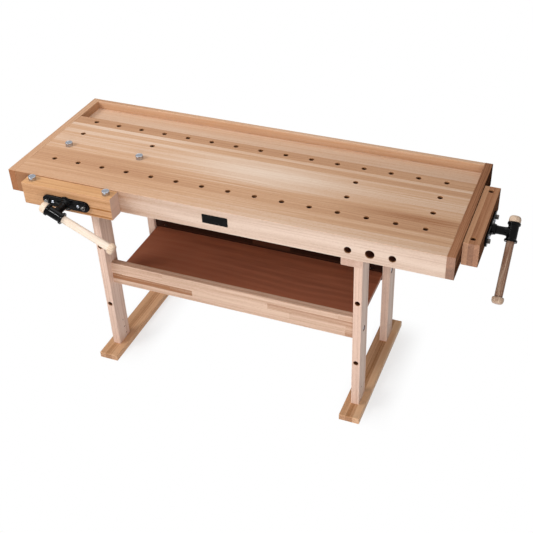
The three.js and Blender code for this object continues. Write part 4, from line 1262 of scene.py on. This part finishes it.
class BENCH_OT_fit_guides(bpy.types.Operator):
    """Make the guide rods with their slotted nuts, and the round-headed screws of the flanges"""

    bl_idname = "bench.fit_guides"
    bl_label = "Fit the guides"

    def guide_rod(self, steps):
        """A rod along z with a stud and a slotted round nut."""
        nut, stud, guide = NUT_RADIUS, STUD_RADIUS, GUIDE_RADIUS
        rod = turned(softened([
            (0, NUT_FACE, 0), (nut, NUT_FACE, 1.5), (nut, HEAD_SEAT, 0.5), (stud, HEAD_SEAT, 0),
            (stud, JAW_FACE, 0), (guide, JAW_FACE, 0), (guide, ROD_END, 2), (0, ROD_END, 0),
        ], 3), steps)
        slot = block((-20, -1.5, NUT_FACE - 10), (20, 1.5, NUT_FACE + 3.5))
        return carved(rod, [moved(slot, Matrix.Rotation(math.radians(-35), 4, "Z"))])

    def flange_screw(self, steps):
        """A screw along z with a round, slotted head."""
        screw = turned(softened([
            (0, -74.6, 0), (5.2, -74, 2.5), (6.5, HEAD_SEAT, 0.4), (3, HEAD_SEAT, 0), (3, -40, 0),
            (0, -33, 0),
        ], 4), steps)
        return carved(screw, [block((-10, -0.7, -90), (10, 0.7, -73.2))])

    def execute(self, context):
        steps = context.scene.bench_sizes.round_steps
        colours = context.scene.bench_colours
        plated = metal_finish(colours, "zinc_plate")
        for side, name in (("front", "turned_steel"), ("tail", "blued_steel")):
            metal = metal_finish(colours, name)
            for number, sign in ((1, -1), (2, 1)):
                rod_place, screw_place = (
                    vise_place(side) @ Matrix.Translation((sign * spacing * MM, 0, 0)) @ ALONG["y"]
                    for spacing in (GUIDE_SPACING, FLANGE_SCREW_SPACING)
                )
                add_piece(
                    f"{side}_guide_bar_{number}", self.guide_rod(steps), [metal, metal],
                    [f"{side}_guide_rod_{number}"], rod_place,
                )
                add_piece(
                    f"{side}_round_screw_{number}", self.flange_screw(steps // 2), [plated, plated],
                    [f"{side}_flange_screw_{number}"], screw_place,
                )
        return {"FINISHED"}


class BENCH_OT_turn_handles(bpy.types.Operator):
    """Make the turned wooden handles with their knobs"""

    bl_idname = "bench.turn_handles"
    bl_label = "Turn the handles"

    def wood(self, name, colours, tone, salt, marks=()):
        """The finish of a piece turned about z from one strip of wood."""
        return wood_finish(Wood(
            name, colours, grain="z", across="x", start=-40, strip=80, tones=(tone,), spread=0.0, streak=0.4,
            pith=-30, end_shade=0.15, roughness=0.42, salt=salt, marks=marks,
        ))

    def knob(self, start, shoulder, rounding):
        """The profile of a knob from its inner face outwards."""
        end = start + KNOB_LENGTH
        return [
            (KNOB_RADIUS - 2, start, rounding), (KNOB_RADIUS, start + shoulder, rounding + 1),
            (KNOB_RADIUS, end - 8, 6), (KNOB_RADIUS - 6, end, 5), (0, end, 0),
        ]

    def execute(self, context):
        steps = context.scene.bench_sizes.round_steps
        colours = palette(context.scene.bench_colours, "handle")
        near_start, far_start = SLEEVE_HALF_LENGTH + 0.3, HANDLE_REACH - KNOB_LENGTH
        bar_end = -near_start - 19
        # Painted light and shade: the tail's bar has a dark tone for the shade it hangs in; the front
        # handle's far knob is darkened as painted shade and the tail's far knob paled as painted light
        for side, tone, knob_tone, far_knob_painted_light in (("front", 0.74, 0.62, -0.24), ("tail", 0.1, 0.42, 0.2)):
            far_mark = Mark((far_start, FAR), "x", WHOLE, far_knob_painted_light, 0.2, 3)
            bar_wood = self.wood(f"{side}_bar_wood", colours, tone, 43.0, (far_mark,))
            knob_wood = self.wood(f"{side}_knob_wood", colours, knob_tone, 44.0)
            bar = turned(softened([
                (0, bar_end, 0), (HANDLE_RADIUS, bar_end, 1), (HANDLE_RADIUS, far_start, 1.5),
                *self.knob(far_start, 4, 2),
            ]), steps)
            add_piece(
                f"{side}_handle_bar", bar, [bar_wood], [f"{side}_handle"], handle_place(side)
            )
            inner_rim = (HANDLE_RADIUS + 0.3, near_start, 0)
            knob = turned(softened([inner_rim, *self.knob(near_start, 3, 1.5)]), steps)
            add_piece(
                f"{side}_end_knob", knob, [knob_wood], [f"{side}_near_knob"],
                handle_place(side, True),
            )
        return {"FINISHED"}


class BENCH_OT_turn_dogs(bpy.types.Operator):
    """Make the four plated bench dogs"""

    bl_idname = "bench.turn_dogs"
    bl_label = "Turn the dogs"

    def execute(self, context):
        steps = context.scene.bench_sizes.round_steps
        plated = metal_finish(context.scene.bench_colours, "dog_plate")
        head, tall, shank, neck = DOG_HEAD_RADIUS, DOG_HEAD_HEIGHT, DOG_RADIUS, DOG_NECK_RADIUS
        for node in ("top_dog_1", "top_dog_2", "jaw_dog_1", "jaw_dog_2"):
            dog = turned(softened([
                (0, -DOG_LENGTH, 0), (shank, -DOG_LENGTH, 2), (shank, -1.2, 0), (neck, -1, 0.3), (neck, 0, 0),
                (head, 0, 0.8), (head, tall, 1.6), (head - 3, tall, 0.5), (head - 3.5, tall - 0.4, 0.5),
                (0, tall - 0.4, 0),
            ]), steps)
            spot = Vector((middle_of(node, "x"), middle_of(node, "y"), millimetres(node)[1].z - tall))
            add_piece(f"{node}_plated", dog, [plated], [node], Matrix.Translation(spot * MM))
        return {"FINISHED"}


class BENCH_OT_drive_bolts(bpy.types.Operator):
    """Make the bolts that hold the trestles, the rails and the top together"""

    bl_idname = "bench.drive_bolts"
    bl_label = "Drive the bolts"

    def bolt(self, length, steps):
        """A bolt along z with a domed head and a hexagon socket. The head's underside is at 0."""
        head, tall, shank, socket = BOLT_HEAD_RADIUS, BOLT_HEAD_HEIGHT, BOLT_RADIUS, 3
        bolt = turned(softened([
            (0, -tall, 0), (head - 3, -tall, 2), (head, -2.2, 1), (head, 0, 0), (shank, 0, 0),
            (shank, length, 1), (0, length, 0),
        ]), steps)
        turns = [corner * math.pi / 3 for corner in range(6)]
        corners = [(socket * math.cos(turn), socket * math.sin(turn)) for turn in turns]
        return carved(bolt, [extruded(corners, -9, -1.6)])

    def execute(self, context):
        steps = context.scene.bench_sizes.round_steps // 2
        blued = metal_finish(context.scene.bench_colours, "blued_steel")
        plated = metal_finish(context.scene.bench_colours, "zinc_plate")
        tall = BOLT_HEAD_HEIGHT
        for side, inward in (("left", 1), ("right", -1)):
            for end in ("front", "rear"):
                node = f"{side}_{end}_rail_bolt"
                low, high = millimetres(node)
                head_x = low.x + tall if inward > 0 else high.x - tall
                spot = Vector((head_x, middle_of(node, "y"), middle_of(node, "z")))
                turn = Matrix.Rotation(inward * math.pi / 2, 4, "Y")
                add_piece(
                    f"{node}_socket", self.bolt(high.x - low.x - tall, steps), [plated, plated],
                    [node], Matrix.Translation(spot * MM) @ turn,
                )
                node = f"{side}_{end}_top_bolt"
                low, high = millimetres(node)
                spot = Vector((middle_of(node, "x"), middle_of(node, "y"), low.z + tall))
                add_piece(
                    f"{node}_socket", self.bolt(high.z - low.z - tall, steps), [blued, blued],
                    [node], Matrix.Translation(spot * MM),
                )
                dress(blued, f"{side}_{end}_cross_nut")
        return {"FINISHED"}


class BENCH_OT_fix_name_plate(bpy.types.Operator):
    """Fix the bare black plate on the fascia"""

    bl_idname = "bench.fix_name_plate"
    bl_label = "Fix the name plate"

    def execute(self, context):
        sizes = context.scene.bench_sizes
        paint = paint_finish(context.scene.bench_colours)
        half_length, half_height = sizes.plate_length / MM / 2, sizes.plate_height / MM / 2
        corner, steps = 2.5, 6
        outline = []
        for quarter, (right, up) in enumerate(((1, 1), (-1, 1), (-1, -1), (1, -1))):
            for step in range(steps + 1):
                turn = (quarter + step / steps) * math.pi / 2
                outline.append((
                    right * (half_length - corner) + corner * math.cos(turn),
                    up * (half_height - corner) + corner * math.sin(turn),
                ))
        plate = extruded(outline, 0, sizes.plate_thickness / MM)
        spot = Vector((TOP_LEFT + NAME_PLATE_FROM_LEFT, TOP_FRONT, NAME_PLATE_Z)) * MM
        place = Matrix.Translation(spot) @ Matrix.Rotation(math.pi / 2, 4, "X")
        add_piece("name_plate", plate, [paint], [], place, 0.4 * MM, "bench")
        return {"FINISHED"}


class BENCH_OT_set_stage(bpy.types.Operator):
    """Set the camera, the lamps, the pale surround and the floor"""

    bl_idname = "bench.set_stage"
    bl_label = "Set the stage"

    def camera(self, context, stage):
        """The camera, turned to its aim and then rolled."""
        data = bpy.data.cameras.new("camera")
        data.sensor_width = 36
        data.lens = stage.camera_lens
        data.shift_x, data.shift_y = stage.camera_shift
        camera = bpy.data.objects.new("camera", data)
        context.scene.collection.objects.link(camera)
        spot, aim = Vector(stage.camera_place), Vector(stage.camera_aim)
        turn = (aim - spot).to_track_quat("-Z", "Y").to_matrix().to_4x4()
        camera.matrix_world = Matrix.Translation(spot) @ turn @ Matrix.Rotation(stage.camera_roll, 4, "Z")
        context.scene.camera = camera

    def lamp(self, context, name, power, spot, aim, size):
        """A soft rectangular lamp."""
        data = bpy.data.lights.new(name, "AREA")
        data.energy = power
        data.shape = "RECTANGLE"
        data.size, data.size_y = size
        lamp = bpy.data.objects.new(name, data)
        context.scene.collection.objects.link(lamp)
        turn = (Vector(aim) - Vector(spot)).to_track_quat("-Z", "Y").to_matrix().to_4x4()
        lamp.matrix_world = Matrix.Translation(spot) @ turn
        return lamp

    def floor(self, context, stage):
        """A wide floor that looks white where no shadow falls on it. Beside the feet a mask makes it less
        white: a painted shadow, through which the lamps' own shadow also shows.
        """
        finish = Finish(bpy.data.materials.new("floor"))
        plain = finish.node("ShaderNodeBsdfDiffuse", sockets={"Color": (0.8, 0.8, 0.8, 1)})
        shade = finish.node("ShaderNodeBsdfDiffuse", sockets={"Color": (1, 1, 1, 1)})
        glow = finish.node("ShaderNodeEmission", sockets={"Color": (1, 1, 1, 1), "Strength": 1.0})
        place = finish.place()
        # Painted shadow: beside each foot, more to its right, the floor's white is dimmed so that it is
        # greyer there, and the lamps' shadow shows
        near = 0.0
        for foot in ("left_foot", "right_foot"):
            low, high = millimetres(foot)
            beside = place["x"].window(low.x + 20, high.x + 70, 70)
            near = near + beside * place["y"].window(low.y + 60, high.y - 20, 90)
        share = 1 - near * (1 - stage.floor_glow)
        white = finish.node("ShaderNodeMixShader", sockets={0: share, 1: shade, 2: glow})
        both = finish.node("ShaderNodeMixShader", sockets={0: finish.seen(), 1: plain, 2: white})
        finish.node("ShaderNodeOutputMaterial", sockets={"Surface": both})
        corners = [(x * FLOOR_REACH, y * FLOOR_REACH, 0) for x, y in ((-1, -1), (1, -1), (1, 1), (-1, 1))]
        mesh = mesh_of("floor", corners, [(0, 1, 2, 3)])
        mesh.materials.append(finish.owner)
        floor = bpy.data.objects.new("floor", mesh)
        context.scene.collection.objects.link(floor)

    def surround(self, context, stage):
        """An even surround that looks white to the camera and in reflections."""
        world = bpy.data.worlds.new("surround")
        context.scene.world = world
        finish = Finish(world)
        dim = finish.node("ShaderNodeBackground", sockets={"Color": (1, 1, 1, 1), "Strength": stage.surround})
        white = finish.node("ShaderNodeBackground", sockets={"Color": (1, 1, 1, 1), "Strength": 1.0})
        both = finish.node("ShaderNodeMixShader", sockets={0: finish.seen(), 1: dim, 2: white})
        finish.node("ShaderNodeOutputWorld", sockets={"Surface": both})

    def execute(self, context):
        stage = context.scene.bench_stage
        context.scene.view_settings.view_transform = "Standard"
        self.camera(context, stage)
        lamps = {
            name: self.lamp(context, name, getattr(stage, f"{name}_power"), *place)
            for name, place in LAMPS.items()
        }
        lamps["fill"].visible_glossy = False
        lamps["spark"].visible_diffuse = False
        self.floor(context, stage)
        self.surround(context, stage)
        return {"FINISHED"}


OPERATORS = (
    BENCH_OT_lay_top,
    BENCH_OT_build_trestles,
    BENCH_OT_fit_shelf,
    BENCH_OT_shape_jaws,
    BENCH_OT_cast_vises,
    BENCH_OT_fit_guides,
    BENCH_OT_turn_handles,
    BENCH_OT_turn_dogs,
    BENCH_OT_drive_bolts,
    BENCH_OT_fix_name_plate,
    BENCH_OT_set_stage,
)


class VIEW3D_PT_bench(bpy.types.Panel):
    """Lists the bench's settings and the steps that make it"""

    bl_idname = "VIEW3D_PT_bench"
    bl_label = "Woodworking bench"
    bl_space_type = "VIEW_3D"
    bl_region_type = "UI"
    bl_category = "Bench"

    def draw(self, context):
        for operator in OPERATORS:
            self.layout.operator(operator.bl_idname)
        for group in (context.scene.bench_colours, context.scene.bench_sizes, context.scene.bench_stage):
            column = self.layout.column()
            for name in group.bl_rna.properties.keys():
                if name not in ("rna_type", "name"):
                    column.prop(group, name)


CLASSES = (BenchColours, BenchSizes, BenchStage, *OPERATORS, VIEW3D_PT_bench)


def register():
    """Adds the classes and the settings."""
    for each in CLASSES:
        bpy.utils.register_class(each)
    bpy.types.Scene.bench_colours = PointerProperty(type=BenchColours)
    bpy.types.Scene.bench_sizes = PointerProperty(type=BenchSizes)
    bpy.types.Scene.bench_stage = PointerProperty(type=BenchStage)


def unregister():
    """Takes the settings and the classes away again."""
    del bpy.types.Scene.bench_stage
    del bpy.types.Scene.bench_sizes
    del bpy.types.Scene.bench_colours
    for each in reversed(CLASSES):
        bpy.utils.unregister_class(each)


def main():
    """Makes the bench step by step."""
    register()
    bpy.ops.bench.lay_top()
    bpy.ops.bench.build_trestles()
    bpy.ops.bench.fit_shelf()
    bpy.ops.bench.shape_jaws()
    bpy.ops.bench.cast_vises()
    bpy.ops.bench.fit_guides()
    bpy.ops.bench.turn_handles()
    bpy.ops.bench.turn_dogs()
    bpy.ops.bench.drive_bolts()
    bpy.ops.bench.fix_name_plate()
    bpy.ops.bench.set_stage()


if __name__ == "__main__":
    main()
